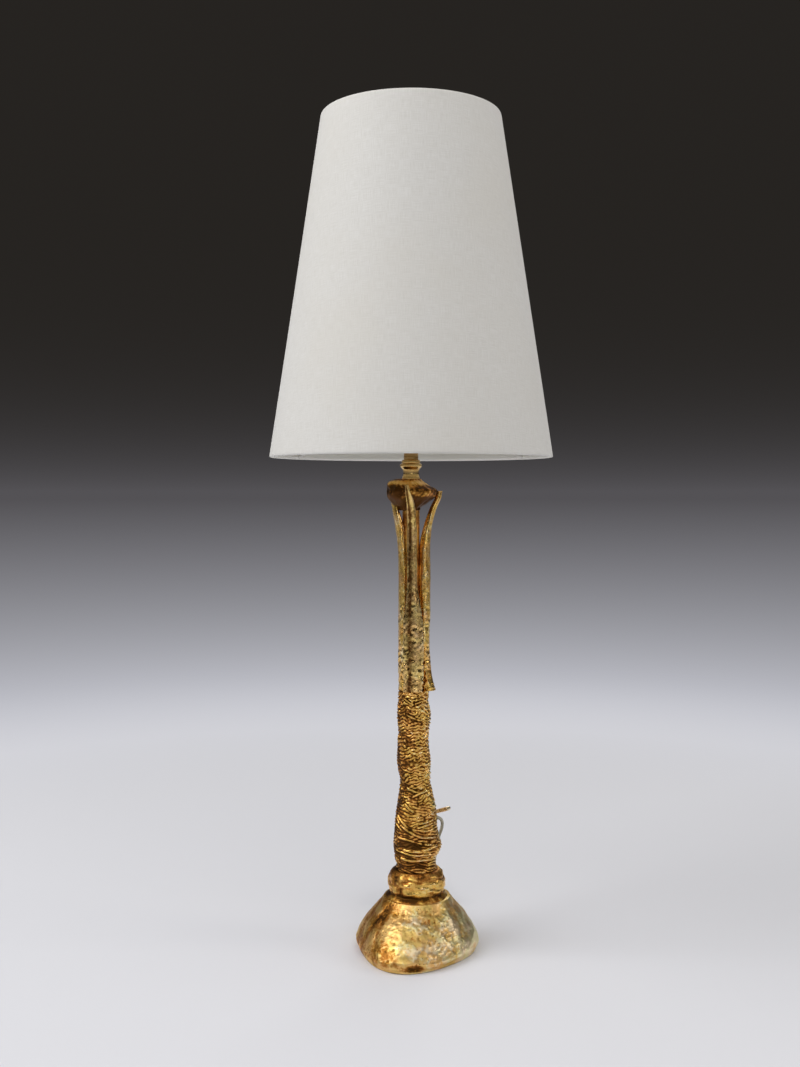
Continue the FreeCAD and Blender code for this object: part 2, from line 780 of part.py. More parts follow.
def biarc(start, start_along, end, end_along):
    """Two arcs that leave start and reach end along the given directions."""
    chord = end - start
    both = start_along + end_along
    a = 2 * (1 - start_along.dot(end_along))
    b = 2 * chord.dot(both)
    c = -chord.dot(chord)
    if abs(a) < 1e-9:
        reach = -c / b
    else:
        reach = (-b + math.sqrt(b * b - 4 * a * c)) / (2 * a)
    joint = (start + start_along * reach + end - end_along * reach) * 0.5
    edges = []
    for p, along, q in ((start, start_along, joint), (end, end_along * -1, joint)):
        way = q - p
        if way.cross(along).Length < 1e-6 * way.Length:
            edges.append(Part.makeLine(p, q))
            continue
        # the arc's middle lies half the turn from the tangent
        half = way.getAngle(along) / 2
        side = way.cross(along).cross(way)
        side.normalize()
        middle = (p + q) * 0.5 + side * (way.Length / 2 * math.tan(half))
        edges.append(Part.Arc(p, middle, q).toShape())
    # the second piece was drawn from the end back, so it is drawn again the right way round
    first, second = edges
    if second.Curve.TypeId != "Part::GeomCircle":
        return [first, Part.makeLine(joint, end)]
    middle = second.valueAt((second.FirstParameter + second.LastParameter) / 2)
    return [first, Part.Arc(joint, middle, end).toShape()]


def hank_position(k):
    """Steps from the axis side to run k's strand.

    They go in from 1.5 to -0.5 and out to 2, turning where the strand climbs.
    """
    cycle = 2 * hank_swing
    place = (k + 1) % cycle
    return 2.0 - place / 2 if place <= hank_swing else place / 2 - 3.0


def hank_keys():
    """Points and directions along the hank: each run's ends and waist, and the tip of each end fold."""
    keys = [(hank_start, V(0, 1, 0))]
    for k in range(hank_runs):
        side = 1 if k % 2 == 0 else -1
        out = hank_side + hank_position(k) * hank_step
        x = hank_axis_x + side * out
        layer = k // hank_swing
        climbs = k % hank_swing == hank_swing - 1
        z = hank_low_z + layer * hank_rise
        z_end = z + hank_rise if climbs else z
        slope = 1.6 * (z_end - z) / hank_run
        y, y_end = (hank_low_y, hank_high_y) if side > 0 else (hank_high_y, hank_low_y)
        along = V(0, side, 0)
        waist_along = V(0, side, slope)
        waist_along.normalize()
        keys.append((V(x, y, z), along))
        keys.append((V(x - side * hank_waist, hank_middle_y, (z + z_end) / 2), waist_along))
        keys.append((V(x, y_end, z_end), along))
        if k == hank_runs - 1:
            break
        next_out = hank_side + hank_position(k + 1) * hank_step
        radius = (out + next_out) / 2
        tip_x = hank_axis_x + side * (out - next_out) / 2
        keys.append((V(tip_x, y_end + side * radius, z_end), V(-side, 0, 0)))
    keys.append((hank_end, V(0, 1, 0)))
    return keys


def hank_path():
    edges = []
    keys = hank_keys()
    for (p, along), (q, q_along) in zip(keys, keys[1:]):
        if (q - p).cross(along).Length < 1e-6 and along.getAngle(q_along) < 1e-6:
            edges.append(Part.makeLine(p, q))
        else:
            edges.extend(biarc(p, along, q, q_along))
    return Part.Wire(edges)


def swept(path, start, along):
    """Round cord along a path."""
    section = Part.Wire(Part.Circle(start, along, cord_d / 2).toShape())
    solid = path.makePipeShell([section], True, False)
    return solid if solid.ShapeType == "Solid" else solid.Solids[0]


def least_gap_to_itself(path):
    """Least distance between the surfaces of stretches of cord that are far apart along it."""
    points = path.discretize(Distance=1.5)
    least = 1e9
    skip = int(3 * cord_d / 1.5)
    for i in range(0, len(points)):
        p = points[i]
        for j in range(i + skip, len(points)):
            q = points[j]
            if abs(p.x - q.x) < 5 and abs(p.y - q.y) < 5 and abs(p.z - q.z) < 5:
                least = min(least, p.distanceToPoint(q))
    return least - cord_d


def make_cord():
    for name, points in (("cord_run", cord_points), ("cord_tail", tail_points)):
        path, radii = rounded_route(points)
        solid = swept(path, points[0], points[1] - points[0])
        save(name, solid)
        expected = math.pi * cord_d ** 2 / 4 * path.Length
        print(name, "length", round(path.Length, 1), "radii", [round(r, 1) for r in radii],
              "volume share", round(solid.Volume / expected, 4))
    path = hank_path()
    hank = swept(path, hank_start, V(0, 1, 0))
    save("cord_hank", hank)
    expected = math.pi * cord_d ** 2 / 4 * path.Length
    print("cord_hank length", round(path.Length, 1), "volume share", round(hank.Volume / expected, 4),
          "least gap", round(least_gap_to_itself(path), 3))
    start, along = cord_exit()
    bush = Part.makeCylinder(cord_bush_d / 2, cord_bush_length, start - along * cord_bush_length, along)
    save("cord_bush", bush.cut(Part.makeCylinder(cord_d / 2 + run_gap, cord_bush_length + 2,
                                                 start - along * (cord_bush_length + 1), along)))


# the lead inside the trunk, from the cord's bush to the switch's lugs
def make_leads():
    start, along = cord_exit()
    inner = start - along * cord_bush_length
    lug_reach = bush_start - switch_body_deep - terminal_size / 2
    lug = V(trunk_axis_x, 0, switch_z) + direction(switch_angle) * lug_reach
    low_lug_z = switch_z - terminal_spacing / 2 - terminal_size / 2
    points = [
        inner,
        inner - along * 6.0,
        V(-5.6, 0.5, 98.2),
        V(-3.6, -6.2, 98.6),
        V(lug.x, lug.y, 100.0),
        V(lug.x, lug.y, low_lug_z),
    ]
    path, radii = rounded_route(points)
    section = Part.Wire(Part.Circle(inner, along, feed_d / 2).toShape())
    solid = path.makePipeShell([section], True, False)
    save("feed_lead", solid if solid.ShapeType == "Solid" else solid.Solids[0])
    save("lamp_lead", cylinder(lead_d / 2, switch_z + switch_body_high / 2, core_low))


def make_tie():
    """Band round the hank's waist."""
    right = hank_axis_x + hank_side + 1.5 * hank_step - hank_waist + cord_d / 2 + tie_gap + 0.2
    left = hank_axis_x - hank_side - 2.0 * hank_step + hank_waist - cord_d / 2 - tie_gap - 0.2
    low = tie_thick
    high = hank_top_z + cord_d / 2 + tie_gap
    y = hank_middle_y - tie_width / 2
    outer = Part.makeBox(right - left + 2 * tie_thick, tie_width, high - low + 2 * tie_thick,
                         V(left - tie_thick, y, low - tie_thick))
    inner = Part.makeBox(right - left, tie_width + 2, high - low, V(left, y - 1, low))
    save("hank_tie", outer.cut(inner))


def rounded_outline(wide, high, y, x, z, round_radius):
    """Upright rounded rectangle across Y."""
    a = wide / 2 - round_radius
    b = high / 2 - round_radius
    r = round_radius
    c = r * math.sqrt(0.5)
    corners = ((1, 1), (-1, 1), (-1, -1), (1, -1))
    edges = []
    spots = []
    for sx, sz in corners:
        middle = V(x + sx * a, y, z + sz * b)
        first = middle + (V(sx * r, 0, 0) if sx == sz else V(0, 0, sz * r))
        second = middle + (V(0, 0, sz * r) if sx == sz else V(sx * r, 0, 0))
        spots.append((first, middle + V(sx * c, 0, sz * c), second))
    for k, (first, middle, second) in enumerate(spots):
        edges.append(Part.Arc(first, middle, second).toShape())
        edges.append(Part.makeLine(second, spots[(k + 1) % 4][0]))
    return Part.Wire(edges)


def make_plug():
    x = plug_entry.x
    z = plug_entry.z
    back = plug_entry.y - plug_relief_length
    front = back - plug_length
    sections = [
        (plug_neck_d + 6.0, plug_neck_d + 2.0, back, 4.5),
        (21.0, plug_thick - 1.5, back - plug_length * 0.3, 5.0),
        (31.0, plug_thick, back - plug_length * 0.62, 5.5),
        (plug_width, plug_thick, front, 5.5),
    ]
    body = Part.makeLoft([rounded_outline(w, h, y, x, z, r) for w, h, y, r in sections], True, False)
    relief = Part.makeCone(plug_neck_d / 2, cord_d / 2 + 0.7, plug_relief_length, V(x, back, z), V(0, 1, 0))
    save("plug_body", body.fuse(relief).removeSplitter())
    pins = []
    for side in (-1, 1):
        pin_x = x + side * pin_spacing / 2
        nose_y = front - pin_length + pin_d / 4
        pin = Part.makeCylinder(pin_d / 2, pin_length - pin_d / 4, V(pin_x, front, z), V(0, -1, 0))
        nose = Part.makeCone(pin_d / 2, pin_d / 4, pin_d / 4, V(pin_x, nose_y, z), V(0, -1, 0))
        pins.append(pin.fuse(nose).removeSplitter())
    save("plug_pins", Part.makeCompound(pins))


def main():
    make_felt()
    make_base()
    make_base_bolt()
    make_collar()
    make_trunk()
    make_stem()
    make_leaves()
    make_cup()
    make_neck()
    make_holder()
    make_shade_ring()
    make_bulb()
    make_shade()
    make_switch()
    make_cord()
    make_leads()
    make_tie()
    make_plug()
    for name, shape in nodes.items():
        print(name, "valid" if shape.isValid() else "NOT VALID", len(shape.Solids), round(shape.Volume, 1))


main()
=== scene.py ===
# %% [markdown]
# # A table lamp of gilt bronze, dressed in Blender
#
# The lamp's solids come from the CAD model. This lesson keeps those that already look right, gives
# them finishes, and builds the surfaces that a lathe or a loft can't give: a stem that was bound
# with cord and then cast in bronze, a hammered foot, a cloth shade and a folded flex.
# Each surface is worked out with numpy as a whole array of points.

import math

import bpy
import numpy as np
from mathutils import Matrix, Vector


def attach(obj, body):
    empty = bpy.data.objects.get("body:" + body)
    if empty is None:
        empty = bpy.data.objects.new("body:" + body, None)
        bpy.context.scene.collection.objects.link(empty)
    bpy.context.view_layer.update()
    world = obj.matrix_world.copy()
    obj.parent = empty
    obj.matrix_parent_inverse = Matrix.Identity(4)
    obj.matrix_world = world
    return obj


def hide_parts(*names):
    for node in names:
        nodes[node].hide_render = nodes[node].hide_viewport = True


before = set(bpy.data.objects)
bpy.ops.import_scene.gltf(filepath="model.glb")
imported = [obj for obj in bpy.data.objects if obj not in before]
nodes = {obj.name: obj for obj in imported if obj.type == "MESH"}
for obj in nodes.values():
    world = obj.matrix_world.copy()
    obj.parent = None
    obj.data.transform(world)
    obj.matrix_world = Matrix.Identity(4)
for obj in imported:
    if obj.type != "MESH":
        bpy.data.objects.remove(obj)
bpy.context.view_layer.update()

# %% [markdown]
# ## The camera
#
# The photograph was taken from about a metre away, a little below the shade's lower rim, with the
# camera held level. A level camera with a small vertical shift keeps the lamp's upright lines
# upright, as the photograph does. Tilting the camera instead would make them lean.

# %% The camera
def new_object(name, data):
    """Makes an object and puts it into the scene."""
    made = bpy.data.objects.new(name, data)
    bpy.context.scene.collection.objects.link(made)
    return made


photo_high = 1067
focal_pixels = 1200.0
horizon_row = 491.0
eye = Vector((-0.0099, -1.080, 0.409))
camera_data = bpy.data.cameras.new("camera")
camera_data.sensor_width = 36.0
camera_data.lens = focal_pixels * camera_data.sensor_width / photo_high
camera_data.shift_y = (horizon_row - photo_high / 2) / photo_high
camera = new_object("camera", camera_data)
camera.location = eye
camera.rotation_euler = (math.radians(90), 0, 0)
bpy.context.scene.camera = camera
print("lens in mm:", round(camera_data.lens, 2))

# %% [markdown]
# ## The flex
#
# The lamp's flex is thin, clear and limp. It leaves the trunk at the rear right, makes the small
# arc that the photograph shows, and falls behind the foot. The rest is folded into a hank, tied
# round its waist, with the plug lying on it. One smooth NURBS curve can be the whole flex: its
# control points pull the line without kinks, so it bends as flex does. The folds are half circles,
# whose control points are the corners of a polygon drawn round the circle.

# %% The flex's route
mm = 0.001
flex_d = 3.0
free_points = [
    (10.4, 17.9, 104.5), (17.0, 22.3, 107.2), (23.4, 25.6, 109.2), (29.2, 28.4, 105.4),
    (29.2, 31.4, 97.2), (25.6, 35.6, 87.4), (24.0, 42.5, 73.5), (22.0, 50.0, 60.0),
    (24.0, 55.5, 45.5), (27.0, 58.5, 31.5), (28.2, 60.5, 19.0), (26.6, 64.0, 9.2),
    (24.45, 71.0, 2.4),
]
tail_points = [
    (20.75, 152.0, 13.05), (14.4, 158.4, 15.7), (5.4, 158.4, 20.0), (-1.0, 152.0, 22.3),
    (-1.0, 142.5, 22.3),
]
hank_x, hank_y, hank_z = 9.0, 112.0, 2.4
hank_run, hank_runs, hank_swing = 56.0, 17, 5
hank_step, hank_rise, hank_side, hank_waist = 3.7, 3.55, 9.9, 2.6
fold_steps = 6


def strand_out(k):
    """Distance of run k from the hank's axis: the strands step in and out again as the layers rise."""
    place = (k + 1) % (2 * hank_swing)
    steps = 2.0 - place / 2 if place <= hank_swing else place / 2 - 3.0
    return hank_side + steps * hank_step


def hank_points():
    """Control points of the hank: each run is drawn in at the tie, and each end fold is a half circle."""
    points = []
    half_step = math.pi / fold_steps / 2
    for k in range(hank_runs):
        side = 1 if k % 2 == 0 else -1
        x = hank_x + side * strand_out(k)
        z = hank_z + k // hank_swing * hank_rise
        z_end = z + (hank_rise if k % hank_swing == hank_swing - 1 else 0)
        for share, drawn in ((-0.5, 0), (-0.25, 0.45), (0, 1.1), (0.25, 0.45), (0.5, 0)):
            height = z + (z_end - z) * (share + 0.5)
            points.append((x - side * drawn * hank_waist, hank_y + side * share * (hank_run - 8), height))
        if k < hank_runs - 1:
            radius = (strand_out(k) + strand_out(k + 1)) / 2
            fold_x = hank_x + side * (strand_out(k) - strand_out(k + 1)) / 2
            corner = radius / math.cos(half_step)
            for step in range(fold_steps):
                turn = (2 * step + 1) * half_step
                points.append((fold_x + side * corner * math.cos(turn),
                               hank_y + side * (hank_run / 2 + corner * math.sin(turn)), z_end))
    return points


route = free_points + hank_points() + tail_points
flex_data = bpy.data.curves.new("flex", "CURVE")
flex_data.dimensions = "3D"
spline = flex_data.splines.new("NURBS")
spline.points.add(len(route) - 1)
for point, place in zip(spline.points, route):
    point.co = (*(c * mm for c in place), 1.0)
    point.radius = flex_d / 2 * mm
spline.order_u = 3
spline.use_endpoint_u = True
spline.resolution_u = 6
flex = new_object("flex", flex_data)
print("control points:", len(route))

# %% The flex's round section
# each point's radius is the flex's own, so the depth that it is multiplied by is 1. Blender counts a
# point's radius into a curve's bounds, and with the usual radius of 1 the flex would seem two metres wide
flex_data.bevel_depth = 1.0
flex_data.bevel_resolution = 3
flex_data.use_fill_caps = True
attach(flex, "root")
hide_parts("cord_run", "cord_hank", "cord_tail")

# %% [markdown]
# ## Floor, backdrop and light
#
# The lamp stands on a plain pale floor that fades into a darker backdrop, as a photographer's
# graduated paper does. The fade depends on the distance from the lamp, so it looks the same from
# every side. Large soft lamps light it from the left, and smaller ones from the right, the front,
# above and behind. Only rays that meet the eye, or that metal and glass throw on, see the
# backdrop's colour. All others see plain white light, so colours come out as they are written.

# %% Node helpers
def fill(tree, socket, value):
    """Sets a socket's value, or links another node's socket to it."""
    if isinstance(value, bpy.types.NodeSocket):
        tree.links.new(value, socket)
    else:
        socket.default_value = value


def add(tree, kind, inputs=(), **settings):
    """Adds a node to a tree, sets its properties and fills its inputs."""
    made = tree.nodes.new(kind)
    for name, value in settings.items():
        setattr(made, name, value)
    for name, value in dict(inputs).items():
        fill(tree, made.inputs[name], value)
    return made


def calc(tree, operation, a, b=0.0):
    """A Math node's result from two values or sockets."""
    return add(tree, "ShaderNodeMath", {0: a, 1: b}, operation=operation).outputs[0]


def times(tree, a, b):
    """Two values' product."""
    return calc(tree, "MULTIPLY", a, b)


def plus(tree, a, b, factor):
    """a and factor times b."""
    return calc(tree, "ADD", a, times(tree, b, factor))


def vector_math(tree, operation, inputs, result="Vector"):
    """A Vector Math node's result."""
    return add(tree, "ShaderNodeVectorMath", inputs, operation=operation).outputs[result]


def ramp(tree, value, low, high, to_low=0.0, to_high=1.0):
    """A value smoothly carried from one range to another, and held at its ends."""
    made = add(tree, "ShaderNodeMapRange", {0: value, 1: low, 2: high, 3: to_low, 4: to_high},
               interpolation_type="SMOOTHSTEP")
    return made.outputs[0]


def mix(tree, share, a, b, blend="MIX"):
    """Two colours mixed by a share."""
    made = add(tree, "ShaderNodeMix", data_type="RGBA", blend_type=blend)
    for index, value in ((0, share), (6, a), (7, b)):
        fill(tree, made.inputs[index], value)
    return made.outputs[2]


def noise(tree, place, scale, detail, **more):
    """A Noise Texture's value at a place."""
    made = add(tree, "ShaderNodeTexNoise", {"Vector": place, "Scale": scale, "Detail": detail, **more})
    return made.outputs[0]


def object_place(tree):
    """The object's own coordinates, in metres."""
    return add(tree, "ShaderNodeTexCoord").outputs["Object"]


def empty_material(name):
    """A material with only its output."""
    made = bpy.data.materials.new(name)
    made.use_nodes = True
    made.node_tree.nodes.clear()
    return made, made.node_tree, add(made.node_tree, "ShaderNodeOutputMaterial")


def principled(tree, output, inputs):
    """Adds the material's surface shader and links it to the output."""
    made = add(tree, "ShaderNodeBsdfPrincipled", inputs)
    tree.links.new(made.outputs[0], output.inputs[0])


# %% Backdrop
dark_paper, horizon_paper = (0.0195, 0.0172, 0.0150, 1.0), (0.088, 0.084, 0.091, 1.0)
world_light, paper_fade = 0.32, 0.026
world = bpy.data.worlds.new("studio")
world.use_nodes = True
sky = world.node_tree
sky.nodes.clear()
sight = add(sky, "ShaderNodeTexCoord").outputs["Generated"]
climb = add(sky, "ShaderNodeSeparateXYZ", {0: sight}).outputs["Z"]
# the paper's light halves for each bit that the line of sight climbs above the horizon
climb = calc(sky, "DIVIDE", calc(sky, "MAXIMUM", climb, 0.0), paper_fade)
paper = mix(sky, calc(sky, "POWER", 0.5, climb), dark_paper, horizon_paper)
plain_light = add(sky, "ShaderNodeBackground", {"Color": (1.0, 0.99, 0.97, 1.0), "Strength": world_light})
backdrop = add(sky, "ShaderNodeBackground", {"Color": paper, "Strength": 1.0})
# the eye's own rays, and those that gloss or glass throws on
ray = add(sky, "ShaderNodeLightPath").outputs
seen = calc(sky, "MAXIMUM", ray["Is Glossy Ray"], ray["Is Transmission Ray"])
seen = calc(sky, "MAXIMUM", ray["Is Camera Ray"], seen)
both = add(sky, "ShaderNodeMixShader", {0: seen, 1: plain_light.outputs[0], 2: backdrop.outputs[0]})
add(sky, "ShaderNodeOutputWorld", {0: both.outputs[0]})
bpy.context.scene.world = world
bpy.context.scene.view_settings.view_transform = "Standard"

# %% Floor
floor_radius = 60.0
fade_from, fade_to = 0.6, 1.7
floor_colour, pale_paper = (0.76, 0.765, 0.815, 1.0), (0.72, 0.73, 0.80, 1.0)
material, tree, output = empty_material("pale_floor")
distance = vector_math(tree, "LENGTH", {0: object_place(tree)}, "Value")
near = add(tree, "ShaderNodeBsdfPrincipled",
           {"Base Color": floor_colour, "Roughness": 0.9, "Specular IOR Level": 0.15})
# beyond a metre the paper's colour falls off as one over the distance, down to the horizon's
nearness = calc(tree, "DIVIDE", 1.0, calc(tree, "MAXIMUM", distance, 1.0))
nearness = calc(tree, "SUBTRACT", nearness, 1.0 / floor_radius)
far_colour = mix(tree, nearness, horizon_paper, pale_paper)
far = add(tree, "ShaderNodeEmission", {"Color": far_colour, "Strength": 1.0})
fade = ramp(tree, distance, fade_from, fade_to)
faded = add(tree, "ShaderNodeMixShader", {0: fade, 1: near.outputs[0], 2: far.outputs[0]})
tree.links.new(faded.outputs[0], output.inputs[0])
floor_data = bpy.data.meshes.new("floor")
corners = [(x * floor_radius, y * floor_radius, 0) for x, y in ((-1, -1), (1, -1), (1, 1), (-1, 1))]
floor_data.from_pydata(corners, [], [(0, 1, 2, 3)])
floor_data.materials.append(material)
floor = new_object("floor", floor_data)


# %% Lamps
def soft_lamp(name, place, aim, size, watts, colour=(1.0, 0.99, 0.97)):
    """A square area lamp at a place, turned towards a point."""
    data = bpy.data.lights.new(name, "AREA")
    data.size, data.energy, data.color = size, watts, colour
    lamp = new_object(name, data)
    lamp.location = place
    lamp.visible_camera = False
    lamp.rotation_euler = (Vector(aim) - Vector(place)).to_track_quat("-Z", "Y").to_euler()


soft_lamp("left_softbox", (-1.85, -0.55, 2.0), (0, 0, 0.45), 1.7, 38.0, (1.0, 0.995, 0.985))
soft_lamp("right_softbox", (1.45, -0.25, 0.95), (0, 0, 0.05), 0.5, 3.4, (1.0, 0.95, 0.87))
soft_lamp("top_softbox", (0.15, -0.8, 1.75), (0, 0, 0.1), 1.5, 7.5)
soft_lamp("front_softbox", (0.5, -2.4, 0.95), (0, 0, 0.35), 1.0, 5.0)
soft_lamp("back_softbox", (0.6, 1.9, 1.5), (0, 0, 0.35), 1.2, 8.0)

# %% [markdown]
# ## Surfaces from arrays
#
# Every new piece is a grid of points: rows along a profile, columns round it. Blender could build
# such forms with its Screw or Skin modifiers, but a grid of numbers lets the relief of a casting
# follow a formula, and `from_pydata` would be slow for so many points, so `foreach_set` fills the
# mesh in one go. Afterwards the volume tells whether the faces look outwards.

# %% Grid to mesh
def grid_faces(rows, columns, rows_closed):
    """Corners of each quad of a grid that closes round its columns, as row and column numbers."""
    i, j = np.meshgrid(np.arange(rows if rows_closed else rows - 1), np.arange(columns), indexing="ij")
    i, j = i.ravel(), j.ravel()
    return np.stack([i, i, i + 1, i + 1], 1), np.stack([j, j + 1, j + 1, j], 1)


def signed_volume(a, b, c):
    """Six times the volume between triangles and the origin, by the divergence theorem."""
    return np.einsum("ij,ij->i", a, np.cross(b, c)).sum()


def solid_from_grid(name, points, relief, rows_closed=False, ends_closed=False, uv=None):
    """A closed mesh through points[row, column], in metres.

    ends_closed puts a fan over the first and the last row. relief is a height from 0 to 1 at each point,
    kept as an attribute. uv gives each point's place on the flat cloth, in metres, with a row and a column
    more, because the grid closes.
    """
    rows, columns = points.shape[:2]
    corner_rows, corner_columns = grid_faces(rows, columns, rows_closed)
    quads = (corner_rows % rows) * columns + corner_columns % columns
    places = points.reshape(-1, 3)
    corners = quads.ravel()
    sizes = np.full(len(quads), 4)
    fans = []
    if ends_closed:
        ring = np.arange(columns)
        after = (ring + 1) % columns
        last = (rows - 1) * columns
        fans = [np.stack([after, ring, np.full(columns, len(places))], 1),
                np.stack([last + ring, last + after, np.full(columns, len(places) + 1)], 1)]
        places = np.concatenate([places, np.stack([points[0].mean(0), points[-1].mean(0)])])
        corners = np.concatenate([corners, *(fan.ravel() for fan in fans)])
        sizes = np.concatenate([sizes, np.full(2 * columns, 3)])
        relief = np.concatenate([relief.ravel(), [relief[0].mean(), relief[-1].mean()]])
    a, b, c, d = (places[quads[:, k]] for k in range(4))
    volume = signed_volume(a, b, c) + signed_volume(a, c, d)
    volume += sum(signed_volume(*(places[fan[:, k]] for k in range(3))) for fan in fans)
    starts = np.concatenate([[0], np.cumsum(sizes)[:-1]])
    order = np.arange(len(corners))
    if volume < 0:
        # each face's corners are taken in the other order
        order = np.repeat(starts, sizes) + np.repeat(starts + sizes - 1, sizes) - order
        corners = corners[order]
    data = bpy.data.meshes.new(name)
    data.vertices.add(len(places))
    data.vertices.foreach_set("co", places.astype(np.float32).ravel())
    data.loops.add(len(corners))
    data.loops.foreach_set("vertex_index", corners.astype(np.int32))
    data.polygons.add(len(sizes))
    data.polygons.foreach_set("loop_start", starts.astype(np.int32))
    data.update(calc_edges=True)
    data.shade_smooth()
    if uv is not None:
        flat = uv[corner_rows.ravel(), corner_columns.ravel()]
        layer = data.uv_layers.new(name="cloth")
        layer.data.foreach_set("uv", flat[order[:len(flat)]].astype(np.float32).ravel())
    kept = data.attributes.new("relief", "FLOAT", "POINT")
    kept.data.foreach_set("value", relief.astype(np.float32).ravel())
    print(name, "faces:", len(sizes), "volume in ml:", round(abs(volume) / 6 * 1e6, 2))
    return new_object(name, data)


def dress(piece, material, body, slot, *replaced):
    """Gives a piece its material and its body, and hides the solids that it stands for; slot is not used."""
    piece.data.materials.append(material)
    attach(piece, body)
    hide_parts(*replaced)


# %% Turned forms
def full_turn(columns):
    """Angles once round, as a row."""
    return np.linspace(0, 2 * math.pi, columns, endpoint=False)[None, :]


def turned_points(middle_x, radius, turn, z):
    """Points at a radius and an angle round an upright axis at middle_x."""
    return np.stack([middle_x + radius * np.cos(turn), radius * np.sin(turn), z + 0 * turn], 2)


def ring_rows(rows, columns):
    """Level circles (radius, height, middle x) in mm as rows of points."""
    r, z, x = (np.array(c, float)[:, None] for c in zip(*rows))
    return turned_points(x, r, full_turn(columns), z)


def hump(gap, width, power=2):
    """A smooth hump, 1 at no gap and e times less at one width."""
    return np.exp(-((gap / width) ** power))


def unit(value):
    """Held between 0 and 1."""
    return np.clip(value, 0, 1)


def smooth_through(keys, at):
    """A smooth line through the keys (place, value), read at the places at: a cubic with even slopes."""
    x, y = (np.array(c, float) for c in zip(*keys))
    slopes = np.gradient(y, x)
    k = np.clip(np.searchsorted(x, at, side="right") - 1, 0, len(x) - 2)
    span = x[k + 1] - x[k]
    t = unit((at - x[k]) / span)
    return ((2 * t**3 - 3 * t**2 + 1) * y[k] + (t**3 - 2 * t**2 + t) * span * slopes[k]
            + (3 * t**2 - 2 * t**3) * y[k + 1] + (t**3 - t**2) * span * slopes[k + 1])


def turn_gap(a, b):
    """Signed angle from b to a, between minus pi and pi."""
    return (a - b + math.pi) % (2 * math.pi) - math.pi


# %% Hand-made noise
wave_radius = 20


def waves(rng, count, around, along, low, high):
    """Smooth noise over a turned surface: a sum of waves that close round it.

    around is the angle and along the distance in mm; low and high are the shortest and longest wave in mm.
    """
    total = np.zeros(np.broadcast(around, along).shape)
    for _ in range(count):
        length = math.exp(rng.uniform(math.log(low), math.log(high)))
        lean = rng.uniform(0, 2 * math.pi)
        turns = round(math.cos(lean) * 2 * math.pi * wave_radius / length)
        rise = math.sin(lean) * 2 * math.pi / length
        total = total + np.sin(turns * around + rise * along + rng.uniform(0, 2 * math.pi)) * length
    return total / (np.abs(total).max() + 1e-9)

# %% [markdown]
# ## Gilding over bronze
#
# The metal is bronze, gilded and then toned: bright gold where hands and cloths rub, orange-brown
# where the tone stayed, and almost black in the pits. One node group works this out for every
# gilded piece from the height of its relief and from noise on the object's own coordinates. It
# could be painted by hand on a texture, but then it would stop at the seams. On some pieces the
# relief also carries painted light and shade: darker on the side in shade, brighter where the
# light falls.

# %% Groups
kinds = {1: "NodeSocketFloat", 3: "NodeSocketVector", 4: "NodeSocketColor"}


def new_group(name, inputs):
    """A node group with inputs of the given start values, and Color, Roughness and Height as outputs."""
    group = bpy.data.node_groups.new(name, "ShaderNodeTree")
    for socket, value in inputs.items():
        kind = kinds[len(value) if isinstance(value, tuple) else 1]
        group.interface.new_socket(socket, in_out="INPUT", socket_type=kind).default_value = value
    for socket, parts in (("Color", 4), ("Roughness", 1), ("Height", 1)):
        group.interface.new_socket(socket, in_out="OUTPUT", socket_type=kinds[parts])
    return group, add(group, "NodeGroupInput").outputs


# %% Gilding group
def gilding_group():
    """Colour, roughness and height of gilt bronze, from its relief."""
    group, given = new_group("gilding", {
        "Relief": 0.5, "Pale": (0.98, 0.77, 0.41, 1), "Gold": (0.86, 0.52, 0.14, 1),
        "Brown": (0.42, 0.18, 0.035, 1), "Dark": (0.10, 0.042, 0.010, 1), "Patches": 45.0, "Tone": 0.0,
        "Pits": 0.5, "Rubbed": 0.33, "Dull": 0.52})
    place = object_place(group)
    patches = noise(group, place, given["Patches"], 3.0, Roughness=0.55)
    grain = noise(group, place, 420.0, 3.0, Roughness=0.55)
    fine = noise(group, place, 1500.0, 2.0, Roughness=0.55)
    spots = add(group, "ShaderNodeTexVoronoi", {"Vector": place, "Scale": 300.0, "Randomness": 1.0}).outputs
    pits = ramp(group, spots["Distance"], 0.20, 0.05)
    pits = times(group, pits, ramp(group, patches, 0.42, 0.60))
    pits = times(group, pits, given["Pits"])
    tone = plus(group, given["Relief"], calc(group, "SUBTRACT", grain, 0.5), 0.75)
    tone = plus(group, tone, calc(group, "SUBTRACT", patches, 0.5), 1.1)
    tone = calc(group, "SUBTRACT", calc(group, "ADD", tone, given["Tone"]), pits)
    colour = given["Dark"]
    for low, high, brighter in ((0.02, 0.26, "Brown"), (0.24, 0.52, "Gold"), (0.62, 1.0, "Pale")):
        colour = mix(group, ramp(group, tone, low, high), colour, given[brighter])
    # the gold leans to green in some places and to rose in others
    hue = ramp(group, noise(group, place, 95.0, 2.0, Roughness=0.55), 0.36, 0.64)
    hue = mix(group, hue, (0.96, 1.01, 0.88, 1), (1.04, 0.97, 0.98, 1))
    colour = mix(group, 1.0, colour, hue, "MULTIPLY")
    rough = ramp(group, tone, 0.1, 0.8, given["Dull"], given["Rubbed"])
    rough = plus(group, rough, calc(group, "SUBTRACT", fine, 0.5), 0.18)
    height = plus(group, times(group, grain, 0.7), fine, 0.25)
    height = calc(group, "SUBTRACT", height, pits)
    add(group, "NodeGroupOutput", {"Color": colour, "Roughness": rough, "Height": height})
    return group


gilding = gilding_group()


def bumped(tree, strength, distance, height):
    """The normal of a surface with fine heights on it."""
    made = add(tree, "ShaderNodeBump", {"Strength": strength, "Distance": distance, "Height": height})
    return made.outputs[0]


